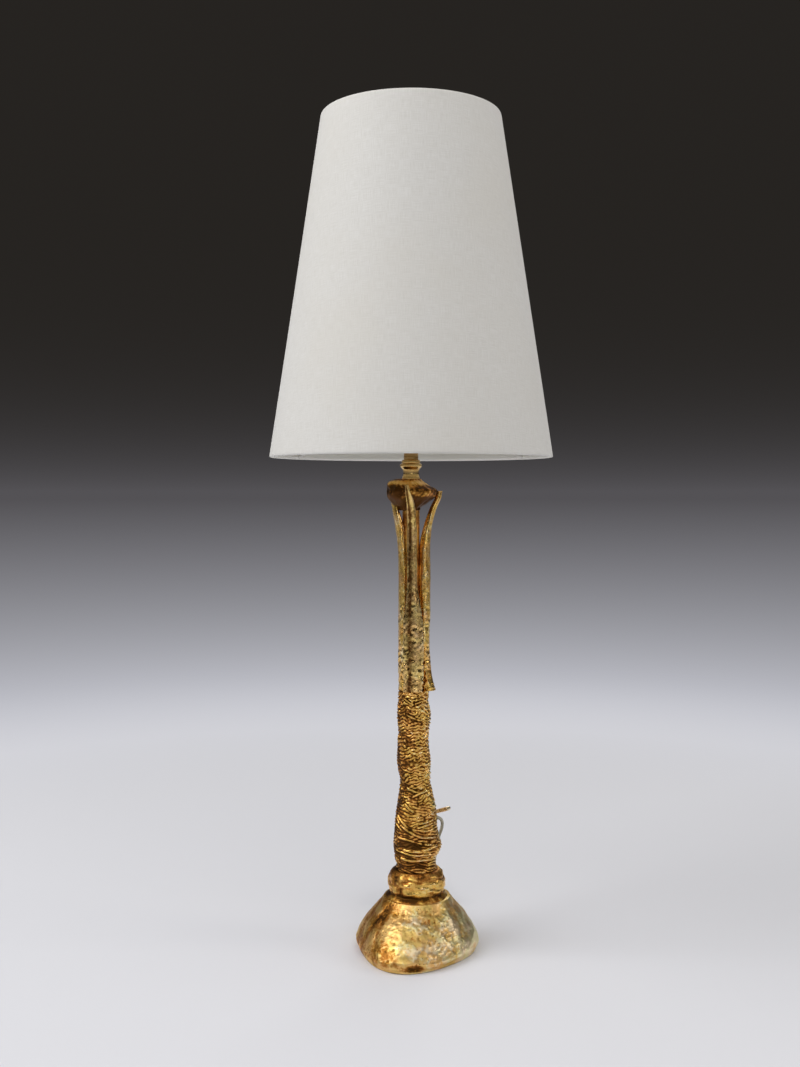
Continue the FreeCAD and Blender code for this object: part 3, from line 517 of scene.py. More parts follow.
def gilt(name, **values):
    """A gilt bronze material: the group's colours and height on a metal shader."""
    material, tree, output = empty_material(name)
    relief = add(tree, "ShaderNodeAttribute", attribute_name="relief").outputs["Fac"]
    toned = add(tree, "ShaderNodeGroup", node_tree=gilding)
    for key, value in {"Relief": relief, **values}.items():
        fill(tree, toned.inputs[key], value)
    toned = toned.outputs
    principled(tree, output, {
        "Base Color": toned["Color"], "Roughness": toned["Roughness"], "Metallic": 1.0,
        "Normal": bumped(tree, 0.35, 0.0006, toned["Height"])})
    return material


print("gilding group outputs:", [s.name for s in gilding.interface.items_tree if s.in_out == "OUTPUT"])

# %% [markdown]
# ## The bound trunk
#
# The trunk was modelled as a rod bound round and round with string, then cast, so the string's
# turns, crossings and knots are now metal. Modelling each string as a tube would give thousands of
# faces that cut into each other. Here each string is a line on the trunk's unrolled surface, and
# the surface rises to a round ridge wherever a line passes: the tallest ridge wins.

# %% The trunk's core
# height, middle and radius in mm
trunk_keys = [
    (70.0, 4.9, 18.2), (75.0, 4.4, 18.0), (80.5, 4.0, 18.6), (86.0, 5.2, 20.6), (91.0, 5.8, 21.6),
    (99.0, 4.8, 20.1), (112.5, 4.4, 18.8), (122.5, 4.9, 18.1), (130.5, 4.5, 16.6), (139.5, 4.3, 14.9),
    (149.0, 3.7, 13.5), (156.0, 3.1, 14.1), (166.0, 2.7, 15.0), (180.0, 1.9, 14.0), (193.5, 2.4, 13.8),
    (209.0, 2.7, 14.9), (220.0, 2.2, 13.6), (230.0, 2.3, 13.5),
]
trunk_low, trunk_top = trunk_keys[0][0], trunk_keys[-1][0]
trunk_rows, trunk_columns = 400, 240
front = math.radians(270)
trunk_z = np.linspace(trunk_low, trunk_top, trunk_rows)
trunk_radius = smooth_through([(z, r) for z, x, r in trunk_keys], trunk_z)[:, None]
trunk_x = smooth_through([(z, x) for z, x, r in trunk_keys], trunk_z)[:, None]
around = full_turn(trunk_columns)
along = trunk_z[:, None]
print("trunk's widest in mm:", round(float(trunk_radius.max() * 2), 1))

# %% Strings on the trunk
# single strands over the windings: height at the front, lean and sag in mm per radian, from and to in
# radians from the front, and half the strand's width in mm
single_strands = [
    (104.3, -7.0, 3.4, -1.3, 1.2, 1.15), (98.0, -4.1, -0.6, -1.2, 1.1, 1.1),
    (107.3, -7.0, 3.4, -1.3, -0.3, 1.0), (101.4, -6.5, 2.0, -1.4, -0.55, 1.0),
    (116.0, -4.5, 4.5, 0.1, 1.2, 1.0), (111.0, 1.5, 1.5, -0.1, 1.2, 1.0),
    (108.0, -1.0, 1.5, 0.2, 1.2, 1.0), (125.0, 0.0, 13.0, -0.76, 0.0, 1.2),
    (141.6, -2.2, 5.5, -0.75, 0.9, 1.1), (138.5, 5.3, 0.0, -0.35, 0.95, 1.05),
    (91.4, 1.2, 1.0, 0.0, 1.15, 1.2), (90.2, -0.5, 1.5, -0.8, 0.3, 1.7),
    (81.4, -0.5, 0.8, -0.95, 0.9, 1.5), (87.0, -1.0, 1.0, -1.2, 1.0, 1.0),
    (92.0, 4.4, 1.0, 1.3, 2.6, 1.1), (219.0, -6.0, 1.0, -0.8, 0.1, 1.0), (216.0, 5.5, 0.0, 0.0, 0.8, 1.0),
    (207.0, -6.5, 0.0, -0.6, 0.2, 1.0), (150.0, -5.0, 2.0, -2.6, -1.4, 1.1),
    (120.0, 5.0, -1.0, 1.5, 2.9, 1.1), (180.0, 4.0, -1.0, 1.8, 2.8, 1.0),
]
mean_radius = 19.0


def ridge(gap, half_width):
    """Height of a round string at a distance gap from its middle line."""
    return np.sqrt(unit(1 - (gap / half_width) ** 2))


def strands(rng, pitch, lean, bend, low, high):
    """Strands side by side round the trunk: 1 on their backs, 0 between them.

    The height is bent by waves of low to high mm before it is cut into strands of one pitch, so they
    swell, meet and part as wound string does.
    """
    bent = along + lean * np.sin(around - front) + bend * waves(rng, 80, around, along, low, high)
    return np.abs(np.sin(math.pi * bent / pitch)) ** 0.7


def windings(rng):
    """Height in mm of the windings over the trunk's core, with a second layer across them in patches."""
    upper = unit((along - 118.0) / 26.0)
    close = strands(rng, 2.7, 4.5, 2.0, 9.0, 30.0) * (1 - upper)
    close = close + strands(rng, 3.0, 1.0, 3.0, 8.0, 24.0) * upper
    across = strands(rng, 3.1, -3.5, 3.6, 8.0, 24.0)
    layer = unit(0.15 + 0.25 * upper + 2.6 * waves(rng, 60, around, along, 8.0, 20.0))
    grain = waves(rng, 90, around, along, 2.2, 5.0)
    broad = waves(rng, 50, around, along, 9.0, 24.0)
    height = 1.15 * close * (1 - layer) + (0.2 + 1.1 * across) * layer
    return height + (0.25 + 0.25 * upper) * grain + 0.3 * broad


def laid_over(height):
    """The height with the single strands laid over it, each pressing the windings beside it down."""
    away = turn_gap(around, front)
    for middle_z, lean, sag, begin, end, half_width in single_strands:
        line = middle_z + lean * away + sag * away**2 + 0.35 * np.sin(6 * away + middle_z)
        slope = (lean + 2 * sag * away) / mean_radius
        shown = unit(np.minimum(away - begin, end - away) / 0.2)
        knots = 1 + 0.16 * np.sin(19 * away + 3 * middle_z)
        gap = np.abs(along - line) / np.sqrt(1 + slope**2)
        height = height - 0.75 * shown * hump(gap, 1.7 * half_width, 4)
        height = np.maximum(height, 1.55 * ridge(gap, half_width * knots) * shown)
    return height


def knotted(rng, height):
    """The height with small round knots and pits, closer together towards the top."""
    for _ in range(330):
        z = 228 - 150 * rng.uniform() ** 1.3
        across = turn_gap(around, rng.uniform(0, 2 * math.pi)) * 16.0 * rng.uniform(0.6, 1.0)
        size = rng.uniform(0.8, 1.6)
        rise = 0.45 if rng.uniform() < 0.65 else -0.5
        height = height + rise * size * unit(1 - (np.hypot(along - z, across) / size) ** 2)
    return np.clip(height, -0.3, 1.75)


rng = np.random.default_rng(11)
string_height = knotted(rng, laid_over(windings(rng)))
# the hollow at the front, between the widest turns, and a few small ones
for hollow_z, hollow_turn, wide, tall, deep in ((96.0, -0.3, 11.0, 2.9, 1.3), (94.0, 0.0, 6.0, 2.6, 0.7),
                                                (87.0, -0.95, 5.0, 1.6, 0.7), (203.0, 0.45, 3.2, 1.5, 0.7)):
    gap = np.hypot((along - hollow_z) / tall, turn_gap(around, front + hollow_turn) * 20.0 / wide)
    string_height = string_height - deep * np.exp(-gap**2.6)
# and a groove round the foot of the trunk
string_height = string_height - 0.45 * hump(along - 75.5 - np.sin(3 * around), 1.8)
print("string stands up to", round(float(string_height.max()), 2), "mm over the core")

# %% Trunk mesh
# painted light and shade: the gilding is painted darker on the left, where it is in shade, and
# brighter on the right, where the light falls; it is also a little browner below
painted_light_side = np.cos(turn_gap(around, math.radians(190)))
trunk_relief = unit(string_height / 1.5 - 0.14 - 0.24 * painted_light_side - 0.05 * (along < 84))
outer = turned_points(trunk_x, trunk_radius - 1.25 + 1.2 * string_height, around, along)
# the tube's channel, the switch's room, the bolt's hole, and the spigot that the collar sits round
inner = ring_rows([(6.75, trunk_top, 0.0), (6.75, 223.0, 0.0), (8.8, 223.0, 0.4), (8.8, 195.0, 0.4),
                   (9.0, 72.0, 3.6), (4.2, 72.0, 5.5), (4.2, 46.2, 5.5), (15.9, 46.2, 5.1),
                   (15.9, 69.9, 5.1)], trunk_columns)


def bronze(name, outer, inner, relief, material, *replaced):
    """A bronze piece of the lamp's body: an outside with its relief, and a plain inside."""
    relief = np.concatenate([relief, np.zeros(inner.shape[:2])])
    piece = solid_from_grid(name, np.concatenate([outer, inner]) * mm, relief, rows_closed=True)
    dress(piece, material, "root", "gilt_bronze", *replaced)


bronze("trunk_bronze", outer, inner, trunk_relief,
       gilt("trunk_gilding", Tone=-0.12, Pits=0.15, Patches=80.0, Rubbed=0.26), "trunk_casting")

# %% [markdown]
# ## The foot and its collar
#
# The foot is a hollow bell of bronze, pressed and beaten by hand in the wax: its plan bulges to the
# front left, its left side has long flat cuts, and its front is dimpled and pitted. A Voronoi
# texture would dent it only in appearance. Each dent here is a shallow bowl that is taken off the
# height of the surface, so the dents meet in real ridges.

# %% Foot's plan and profile
foot_x, foot_low, foot_top = 5.5, 0.4, 46.0
# height, radius, and how far the plan is round
foot_keys = [(foot_low, 52.0, 0.0), (1.5, 52.6, 0.0), (7.0, 55.0, 0.0), (13.0, 53.4, 0.08),
             (22.0, 48.5, 0.25), (32.0, 41.0, 0.5), (41.0, 33.0, 0.85), (foot_top, 29.0, 1.0)]
foot_rows, foot_columns = 170, 460
foot_turn = full_turn(foot_columns)


def from_angle(turn, degrees):
    """Signed angle in degrees from a direction."""
    return np.degrees(turn_gap(turn, math.radians(degrees)))


def foot_plan(turn):
    """Reach of the rim at an angle, as a share of its radius: a bulge to the front left, slight corners."""
    angle = np.degrees(turn) % 360
    corner = 0.03 * np.cos(np.radians(3 * (angle - 20)))
    return 1 + 0.25 * hump(angle - 254, 34.0) + corner * hump(angle - 250, 90.0)


def foot_rings(levels):
    """How far the foot reaches, and how high it is, on its level curves (height, radius, how round)."""
    z, r, rounded = (np.array(c, float)[:, None] for c in zip(*levels))
    return r * (1 + (foot_plan(foot_turn) - 1) * (1 - rounded)), z + 0 * foot_turn


foot_z = np.linspace(foot_low, foot_top, foot_rows)
foot_reach, foot_height = foot_rings(list(zip(foot_z, *(
    smooth_through([(key[0], key[k]) for key in foot_keys], foot_z) for k in (1, 2)))))
print("rim to rim in mm:", round(float(foot_reach.max() * 2), 1))


# %% Beaten surface
def beaten(rng, reach, height, turn, count, low, high, deep):
    """Depth in mm of many shallow round bowls on a turned surface, the deepest winning."""
    x, y = reach * np.cos(turn), reach * np.sin(turn)
    depth = np.zeros(reach.shape)
    rows, columns = reach.shape
    for _ in range(count):
        i, j = rng.integers(rows), rng.integers(columns)
        size = rng.uniform(low, high)
        gap = np.sqrt((x - x[i, j]) ** 2 + (y - y[i, j]) ** 2 + (height - height[i, j]) ** 2) / size
        depth = np.maximum(depth, deep * rng.uniform(0.5, 1) * (size / high) * unit(1 - gap**2))
    return depth


rng = np.random.default_rng(5)
foot_grid = foot_reach, foot_height, foot_turn
above_rim = foot_height - foot_low
dents = beaten(rng, *foot_grid, 420, 2.6, 7.5, 1.05)
lumps = waves(rng, 40, foot_turn, foot_height, 6.0, 22.0)
# the left side is cut flat, with upright creases; the front is pitted
left_share = hump(from_angle(foot_turn, 205), 42.0, 4)
creases = sum(0.75 * hump(turn_gap(foot_turn, math.radians(a)) * 50.0 + (foot_height - 20) * lean, w)
              for a, lean, w in ((192, 0.25, 4.2), (211, -0.2, 3.4), (229, 0.3, 4.8)))
pit_spots = beaten(rng, *foot_grid, 900, 0.6, 1.7, 0.85)
front_share = hump(from_angle(foot_turn, 280), 48.0)
# a notch in the front rim, where the casting did not fill
notch = 2.6 * hump((foot_turn - math.radians(268)) * 60.0, 8.0, 4) * hump(foot_height - 4.5, 4.0)
carved = dents * (1 - 0.75 * left_share) + creases * left_share + pit_spots * front_share + notch
facets = beaten(rng, *foot_grid, 1100, 1.4, 4.2, 0.75)
crumple = np.abs(waves(rng, 70, foot_turn * 2, foot_height * 2, 9.0, 26.0))
carved = carved + (facets + 0.9 * crumple) * (0.25 + 0.75 * front_share)
carved = carved * np.clip((foot_top - foot_height) / 5.0, 0.15, 1) * unit(above_rim / 1.6)
foot_surface = foot_reach + 0.55 + 0.5 * lumps * unit(above_rim / 3.0) - carved

# %% Foot mesh
# painted light and shade: the gilding is painted darker on the left, where it is in shade, and palest
# on the right, where the light falls; it is also darker next to the collar
foot_relief = 0.74 + 0.20 * lumps - 0.30 * carved - 0.42 * left_share
foot_relief = foot_relief - 0.22 * unit((foot_height - 37) / 9)
foot_relief = foot_relief + 0.22 * hump(from_angle(foot_turn, 340), 36.0)
hollow_levels = [(38.0, 27.0, 0.85), (32.0, 36.0, 0.5), (22.0, 43.5, 0.25), (13.0, 48.4, 0.08),
                 (7.0, 49.4, 0.0), (1.5, 47.0, 0.0), (1.55, 51.9, 0.0), (foot_low, 52.0, 0.0)]
hollow_reach, hollow_z = foot_rings(hollow_levels)
bore = ring_rows([(4.1, foot_top, foot_x), (4.1, 38.0, foot_x)], foot_columns)
hollow = turned_points(foot_x, hollow_reach, foot_turn, hollow_z)
foot_gilding = gilt("foot_gilding", Tone=0.14, Pits=0.9, Patches=38.0, Rubbed=0.42,
                    Pale=(0.97, 0.84, 0.55, 1), Gold=(0.87, 0.58, 0.21, 1), Brown=(0.50, 0.22, 0.04, 1))
bronze("foot_bronze", turned_points(foot_x, foot_surface, foot_turn, foot_height),
       np.concatenate([bore, hollow]), unit(foot_relief), foot_gilding, "base_casting")

# %% Collar
collar_x, collar_columns = 5.1, 300
collar_keys = [(foot_top, 27.5), (48.5, 25.6), (52.0, 25.0), (58.0, 25.4), (63.5, 24.6), (68.0, 22.4),
               (trunk_low, 20.0)]
levels = np.linspace(foot_top, trunk_low, 96)
turn = full_turn(collar_columns)
reach = smooth_through(collar_keys, levels)[:, None] + 0 * turn
high = levels[:, None] + 0 * turn
rng = np.random.default_rng(8)
lumps = waves(rng, 30, turn, high, 6.0, 18.0)
# crinkles run round the collar and climb a little, strongest in a band round its middle
crinkles = waves(rng, 60, turn, high * 1.8 + 9.0 * np.sin(turn), 4.0, 12.0)
band = 0.45 + 0.55 * hump(high - 57.5, 4.0)
dents = beaten(rng, reach, high, turn, 70, 2.0, 4.6, 0.9)
low_groove = hump(high - 50.0 - 0.8 * lumps, 1.6)
high_groove = hump(high - 63.5 - 1.6 * lumps, 1.3) * unit(0.5 + np.sin(turn + 2.2))
ends = unit((trunk_low - high) / 3)
surface = reach + 0.2 + 0.7 * lumps * ends + 1.2 * crinkles * band * ends - 0.3 * dents
surface = surface - 1.3 * low_groove - 0.9 * high_groove
# painted light and shade: the crinkled band is painted brighter on its lit side, and the collar is painted
# darker on the left, where it is in shade
lit_side = unit(0.5 + 0.9 * np.cos(turn - math.radians(300)))
relief = 0.42 + 0.2 * lumps + 0.40 * crinkles * band + 0.55 * (band - 0.45) * lit_side - 0.12 * dents
relief = relief - 0.30 * low_groove - 0.22 * high_groove
relief = relief - 0.12 * np.cos(turn - math.radians(190))
bronze("collar_bronze", turned_points(collar_x, surface, turn, high),
       ring_rows([(16.1, trunk_low, collar_x), (16.1, foot_top, collar_x)], collar_columns),
       unit(relief), gilt("collar_gilding", Tone=-0.07, Pits=0.3, Patches=55.0, Rubbed=0.26),
       "collar_ring")

# %% [markdown]
# ## The uprights and the cup
#
# Four long leaves stand round the stem and hold a rough cup on their tips. Each one is a stack of
# level ovals, thick at the foot and thin at the tip, so a path with a changing section describes
# it. The front leaf is a shallow gutter with raised edges, and its lower part is beaten.

# %% Leaves
# direction it faces in degrees, depth of its gutter, and its levels: height, middle x and y, thickness
# and width in mm
leaf_levels = {
    "leaf_left": (200.0, 0.25, [
        (230.0, -8.2, -2.4, 5.2, 14.0), (262.0, -8.2, -2.4, 5.2, 13.6), (300.0, -8.1, -2.3, 5.6, 12.8),
        (340.0, -7.8, -2.2, 6.6, 12.0), (358.0, -8.2, -2.2, 7.2, 11.6), (374.0, -9.8, -2.0, 7.6, 11.0),
        (387.0, -12.6, -1.8, 6.8, 9.8), (396.0, -15.0, -1.4, 5.0, 8.0), (402.5, -16.8, -1.2, 3.8, 6.2)]),
    "leaf_front": (270.0, 0.95, [
        (230.0, 1.8, -11.6, 6.6, 17.4), (250.0, 2.0, -11.6, 6.4, 18.4), (275.0, 2.0, -11.5, 6.2, 18.2),
        (294.0, 1.8, -11.4, 6.0, 17.0), (306.0, 1.7, -11.4, 5.9, 14.2), (317.0, 1.3, -11.4, 5.8, 11.0),
        (330.0, 0.9, -11.5, 5.8, 9.4), (347.0, 0.8, -11.9, 5.8, 9.0), (365.0, 0.9, -12.8, 5.6, 8.8),
        (382.0, 0.6, -14.6, 5.4, 8.2), (396.0, -0.6, -18.6, 5.2, 7.2), (407.0, -2.6, -24.2, 4.0, 5.2),
        (414.5, -4.2, -25.8, 2.2, 3.0)]),
    "leaf_right": (0.0, 0.25, [
        (230.0, 15.8, 0.6, 14.0, 15.0), (240.0, 14.0, 0.4, 11.6, 14.0), (262.0, 12.0, 0.2, 10.6, 13.4),
        (300.0, 12.2, -0.2, 10.8, 12.2), (340.0, 12.3, -0.4, 10.8, 11.2), (365.0, 13.1, -0.2, 9.6, 10.4),
        (382.0, 16.4, 0.0, 7.2, 9.2), (394.0, 20.4, 0.6, 6.4, 8.6), (403.0, 24.4, 1.0, 6.0, 7.4),
        (409.0, 26.0, 1.2, 4.8, 5.6)]),
    "leaf_back": (90.0, 0.7, [
        (230.0, 2.2, 11.6, 7.0, 13.6), (262.0, 2.0, 11.3, 6.2, 12.4), (300.0, 1.6, 11.4, 6.0, 11.0),
        (340.0, 1.6, 11.8, 6.0, 10.0), (365.0, 1.8, 12.8, 5.8, 9.2), (382.0, 2.0, 14.8, 5.6, 8.6),
        (396.0, 2.2, 18.8, 5.2, 7.4), (407.0, 2.6, 24.4, 4.0, 5.4), (413.0, 2.8, 25.8, 2.6, 3.4)]),
}
leaf_rows, leaf_columns = 300, 72
sleeve_clear, cup_low = 7.85, 391.5


def leaf_dents(rng, turn, rise, low):
    """Depth of small dents, from 0 to 1, closest together at the leaf's foot."""
    dents = np.zeros(np.broadcast(rise, turn).shape)
    for _ in range(230):
        spot_z = low + 172 * rng.uniform() ** 1.8
        spot_turn, spot = rng.uniform(0, 2 * math.pi), rng.uniform(1.1, 2.8)
        gap = np.hypot(rise - spot_z, turn_gap(turn, spot_turn) * 5.5) / spot
        dents = np.maximum(dents, rng.uniform(0.35, 0.9) * unit(1 - gap**2))
    return dents


def leaf_points(rng, facing, gutter, levels):
    """Points of a leaf and its relief: level ovals along a smooth line, hollowed in front, beaten below."""
    low, high = levels[0][0], levels[-1][0]
    z = np.linspace(low, high, leaf_rows)
    x, y, thick, wide = (smooth_through([(level[0], level[k]) for level in levels], z)[:, None]
                         for k in range(1, 5))
    turn = full_turn(leaf_columns)
    rise = z[:, None]
    share = (rise - low) / (high - low)
    size = np.minimum(1, (1 - share) * 14 + 0.25)
    coarse = waves(rng, 40, turn, rise * 0.8, 7.0, 26.0)
    fine = waves(rng, 50, turn, rise, 3.0, 8.0)
    dents = leaf_dents(rng, turn, rise, low) * np.clip(1.1 - share * 1.9, 0.08, 1)
    side = np.sin(turn)
    hollow = gutter * hump(side + 0.2, 0.5) * (np.cos(turn) > 0)
    swell = (0.3 * coarse + 0.3 * fine * np.clip(1.1 - 1.5 * share, 0.1, 1) - 1.2 * dents) * size
    out = (thick / 2 + swell) * np.cos(turn) - hollow * size
    across = (wide / 2 + swell) * side
    ox, oy = math.cos(math.radians(facing)), math.sin(math.radians(facing))
    px = x + ox * out - oy * across
    py = y + oy * out + ox * across
    # below the cup, no point comes nearer than the sleeve's surface
    push = np.where(rise < cup_low, np.maximum(1, sleeve_clear / np.hypot(px, py)), 1)
    edge = np.abs(side) ** 6
    relief = 0.62 + 0.2 * coarse + 0.22 * fine - 0.24 * dents + 0.12 * edge * (gutter > 0.5) - 0.10 * hollow
    if gutter > 0.9:
        # painted light and shade: the gutter is darker above, painted darker along its left, where it is
        # in shade, and painted with bright highlights right of its middle and at its right edge
        relief = relief - 0.16 * unit((rise - 300) / 40) * (1 - edge) + 0.35 * unit(side) ** 6
        relief = relief + 0.26 * hump(side - 0.3, 0.22) - 0.3 * hump(side + 0.45, 0.25)
    return np.stack([px * push, py * push, rise + 0 * turn], 2), unit(relief)


leaf_gilding = gilt("leaf_gilding", Tone=0.04, Pits=0.1, Patches=60.0, Rubbed=0.24, Dull=0.34)
olive_gilding = gilt("olive_gilding", Tone=-0.12, Pits=0.15, Patches=75.0, Rubbed=0.16, Dull=0.26,
                     Gold=(0.78, 0.53, 0.20, 1), Brown=(0.33, 0.20, 0.065, 1))
for number, (name, (facing, gutter, levels)) in enumerate(leaf_levels.items()):
    points, relief = leaf_points(np.random.default_rng(20 + number), facing, gutter, levels)
    leaf = solid_from_grid(name + "_bronze", points * mm, relief, ends_closed=True)
    dress(leaf, olive_gilding if name == "leaf_front" else leaf_gilding, "root", "gilt_bronze", name)

# %% Cup
# height over the cup's underside, middle and radius in mm
cup_keys = [(0.0, -1.2, 9.2), (2.7, -2.2, 12.2), (6.7, -1.6, 17.1), (13.4, 0.5, 22.7), (18.2, 1.2, 23.2),
            (22.6, -2.6, 19.2), (26.4, -4.4, 15.2), (28.5, -2.4, 11.2)]
cup_rows, cup_columns, cup_tall = 150, 300, cup_keys[-1][0]
turn = full_turn(cup_columns)
high, middle, reach = (np.array(c) for c in zip(*cup_keys))
steps = np.concatenate([[0], np.cumsum(np.hypot(np.diff(high), np.diff(reach)))])
path = np.linspace(0, steps[-1], cup_rows)
high, middle, reach = (smooth_through(list(zip(steps, c)), path)[:, None] + 0 * turn
                       for c in (high, middle, reach))
rng = np.random.default_rng(31)
lumps = waves(rng, 30, turn, high, 6.0, 18.0)
dents = beaten(rng, reach, high, turn, 60, 3.0, 7.5, 1.3)
# the underside is pared in broad flats, which meet in upright ridges
flats = np.abs(np.sin(3.5 * turn + 0.5 + 0.3 * np.sin(2 * turn))) * unit((16 - high) / 8)
keep = unit((path[:, None] - 0.8) / 3.0) * unit((steps[-1] - 0.8 - path[:, None]) / 3.0)
surface = reach + (0.6 * lumps - 0.9 * dents - 1.1 * flats - 0.1) * keep
crest = hump(high - 25.0, 2.2)
# painted light: the cup is painted brighter and mottled on the right, where the light falls, less so on its
# underside, which faces down into shade
painted_light_right = unit(0.5 + 1.2 * np.cos(turn - math.radians(320)))
speckle = waves(rng, 70, turn, high, 2.5, 6.0)
relief = 0.30 + 0.12 * lumps - 0.2 * dents - 0.15 * flats + 0.5 * crest
relief = relief + painted_light_right * (0.16 + 0.4 * speckle - 0.2 * (high < 12))
# painted shade: the cup's gilding is toned darker as a whole, for the shade on its downward-facing underside
bronze("cup_bronze", turned_points(middle, surface, turn, cup_low + high),
       ring_rows([(6.65, cup_low + cup_tall, 0.0), (6.65, cup_low, 0.0)], cup_columns), unit(relief),
       gilt("cup_gilding", Tone=-0.30, Pits=0.2, Patches=50.0, Rubbed=0.34), "cup_cap")

# %% [markdown]
# ## The cloth shade
#
# The shade is one sheet of off-white cloth on a stiff backing, bent into a cone, lapped and glued at
# the back, and rolled round a wire ring at each end. Solidify could thicken a cone, but not roll its
# rims, so a closed profile is turned round instead, close to the real wall's thickness. The flat
# sheet that such a cone is cut from gives the cloth's coordinates, so the threads keep their size
# from the wide end to the narrow one, as they do on the real sheet.

# %% Shade profile
shade_low, shade_tall = 439.0, 306.0
low_radius, high_radius = 126.9, 81.1
taper = (low_radius - high_radius) / math.hypot(low_radius - high_radius, shade_tall)
wall = 1.1
# step inwards from the cone's outer line and height above the end, round each rolled rim
low_rim = [(wall, 9.0), (3.1, 5.2), (4.6, 2.6), (4.1, 0.4), (1.7, 0.0), (0.5, 0.25), (0.05, 0.9)]
high_rim = [(0.05, -0.9), (0.4, -0.15), (1.7, 0.0), (4.2, -0.5), (4.6, -2.8), (3.1, -5.4), (wall, -9.0)]
climb = np.linspace(2.5, shade_tall - 2.5, 90)
profile = low_rim + [(0.0, rise) for rise in climb] + [(step, shade_tall + rise) for step, rise in high_rim]
profile += [(wall, rise) for rise in climb[::-1] if 10.0 < rise < shade_tall - 10.0]
step_in, rise_up = np.array(profile).T
cone_radius = low_radius - (low_radius - high_radius) * rise_up / shade_tall
outside = (step_in < 1.0)[:, None]
print("profile points:", len(profile))

# %% Shade mesh
lap_turn, lap_edge, lap_high = 0.052, 0.004, 0.4
back = math.radians(90)
lap_turns = [back - lap_turn + lap_edge, back - 0.02, back + 0.02, back + lap_turn - lap_edge]
shade_turn = np.linspace(back + lap_turn, back + 2 * math.pi - lap_turn, 372)
shade_turn = np.concatenate([shade_turn, lap_turns])
shade_turn = np.sort((shade_turn - back) % (2 * math.pi)) + back
lap = unit((lap_turn - np.abs(turn_gap(shade_turn, back))) / lap_edge)[None, :]
# the rings are never quite round, and the sheet between them is a little uneven
uneven = 0.10 * np.sin(3 * shade_turn + 1.0) + 0.06 * np.sin(7 * shade_turn + 2.0)
middle = np.sin(math.pi * unit(rise_up / shade_tall))[:, None]
shade_radius = (cone_radius - step_in)[:, None] + lap * lap_high * outside
shade_radius = shade_radius + (uneven[None, :] - 0.16) * middle
points = turned_points(0, shade_radius, shade_turn, shade_low + rise_up[:, None])
# places on the flat sheet: distance from the cone's tip, and the angle that the cone's turn takes on it
tip_distance = (cone_radius / taper)[:, None] * mm
closed_turn = np.append(shade_turn, shade_turn[0] + 2 * math.pi) - back - math.pi
flat_turn = closed_turn[None, :] * taper
tip_distance = np.concatenate([tip_distance, tip_distance[:1]])
flat = np.stack([tip_distance * np.sin(flat_turn), tip_distance * np.cos(flat_turn)], 2)
lining = 1.0 - outside + 0 * shade_turn
shade = solid_from_grid("shade_sheet", points * mm, lining, rows_closed=True, uv=flat)

# %% [markdown]
# ## Cloth
#
# The cloth is a plain weave of uneven threads. Two stretched noises, one along each direction of
# the flat sheet, give the slubs, and two sine waves give the threads themselves. The threads are
# about half a millimetre wide, so from a step away they show as a fine tooth and not as lines.

# %% Weave group
thread = 0.00055


def weave_group():
    """Slubs and height of a plain weave, from the place on the flat sheet."""
    group = bpy.data.node_groups.new("plain_weave", "ShaderNodeTree")
    face = group.interface
    face.new_socket("Place", in_out="INPUT", socket_type="NodeSocketVector")
    face.new_socket("Thread", in_out="INPUT", socket_type="NodeSocketFloat").default_value = thread
    for name in ("Slubs", "Height"):
        face.new_socket(name, in_out="OUTPUT", socket_type="NodeSocketFloat")
    given = add(group, "NodeGroupInput").outputs
    # the threads wander a little
    wander = add(group, "ShaderNodeTexNoise", {"Vector": given["Place"], "Scale": 60.0, "Detail": 2.0})
    wander = vector_math(group, "SCALE", {0: wander.outputs["Color"], "Scale": 0.0012})
    place = vector_math(group, "ADD", {0: given["Place"], 1: wander})
    axes = add(group, "ShaderNodeSeparateXYZ", {0: place}).outputs
    rows = [times(group, calc(group, "DIVIDE", axes[k], given["Thread"]), math.pi) for k in (0, 1)]
    crossing = times(group, calc(group, "SINE", rows[0]), calc(group, "SINE", rows[1]))
    slubs = []
    for stretch in ((2400.0, 90.0, 1.0), (90.0, 2400.0, 1.0)):
        lengthened = add(group, "ShaderNodeMapping", {"Vector": given["Place"], "Scale": stretch})
        slubs.append(noise(group, lengthened.outputs[0], 1.0, 3.0, Roughness=0.6))
    both = times(group, calc(group, "ADD", slubs[0], slubs[1]), 0.5)
    height = calc(group, "ADD", times(group, crossing, 0.35), both)
    add(group, "NodeGroupOutput", {"Slubs": both, "Height": height})
    return group


# %% Cloth material
material, tree, output = empty_material("shade_cloth")
place = add(tree, "ShaderNodeUVMap", uv_map="cloth").outputs[0]
inside = add(tree, "ShaderNodeAttribute", attribute_name="relief").outputs["Fac"]
threads = add(tree, "ShaderNodeGroup", {"Place": place}, node_tree=weave_group()).outputs
soiling = noise(tree, place, 9.0, 4.0)
outer_cloth = mix(tree, ramp(tree, threads["Slubs"], 0.36, 0.64), (0.640, 0.625, 0.590, 1),
                  (0.735, 0.725, 0.700, 1))
outer_cloth = mix(tree, ramp(tree, soiling, 0.35, 0.75, 0.0, 0.35), outer_cloth, (0.66, 0.63, 0.565, 1))
inner_cloth = mix(tree, ramp(tree, soiling, 0.3, 0.7), (0.76, 0.75, 0.69, 1), (0.82, 0.81, 0.76, 1))
principled(tree, output, {
    "Base Color": mix(tree, inside, outer_cloth, inner_cloth), "Roughness": 0.9, "Specular IOR Level": 0.2,
    "Sheen Weight": 0.12, "Sheen Roughness": 0.6, "Normal": bumped(tree, 0.3, 0.0002, threads["Height"])})
dress(shade, material, "shade", "shade_cloth", "shade_cover", "bottom_hem", "top_hem")

# %% The flat sheet
# the cloth reaches this far past each rim, where it is turned in round the wire
turned_in = 0.010
far, near = low_radius / taper * mm + turned_in, high_radius / taper * mm - turned_in

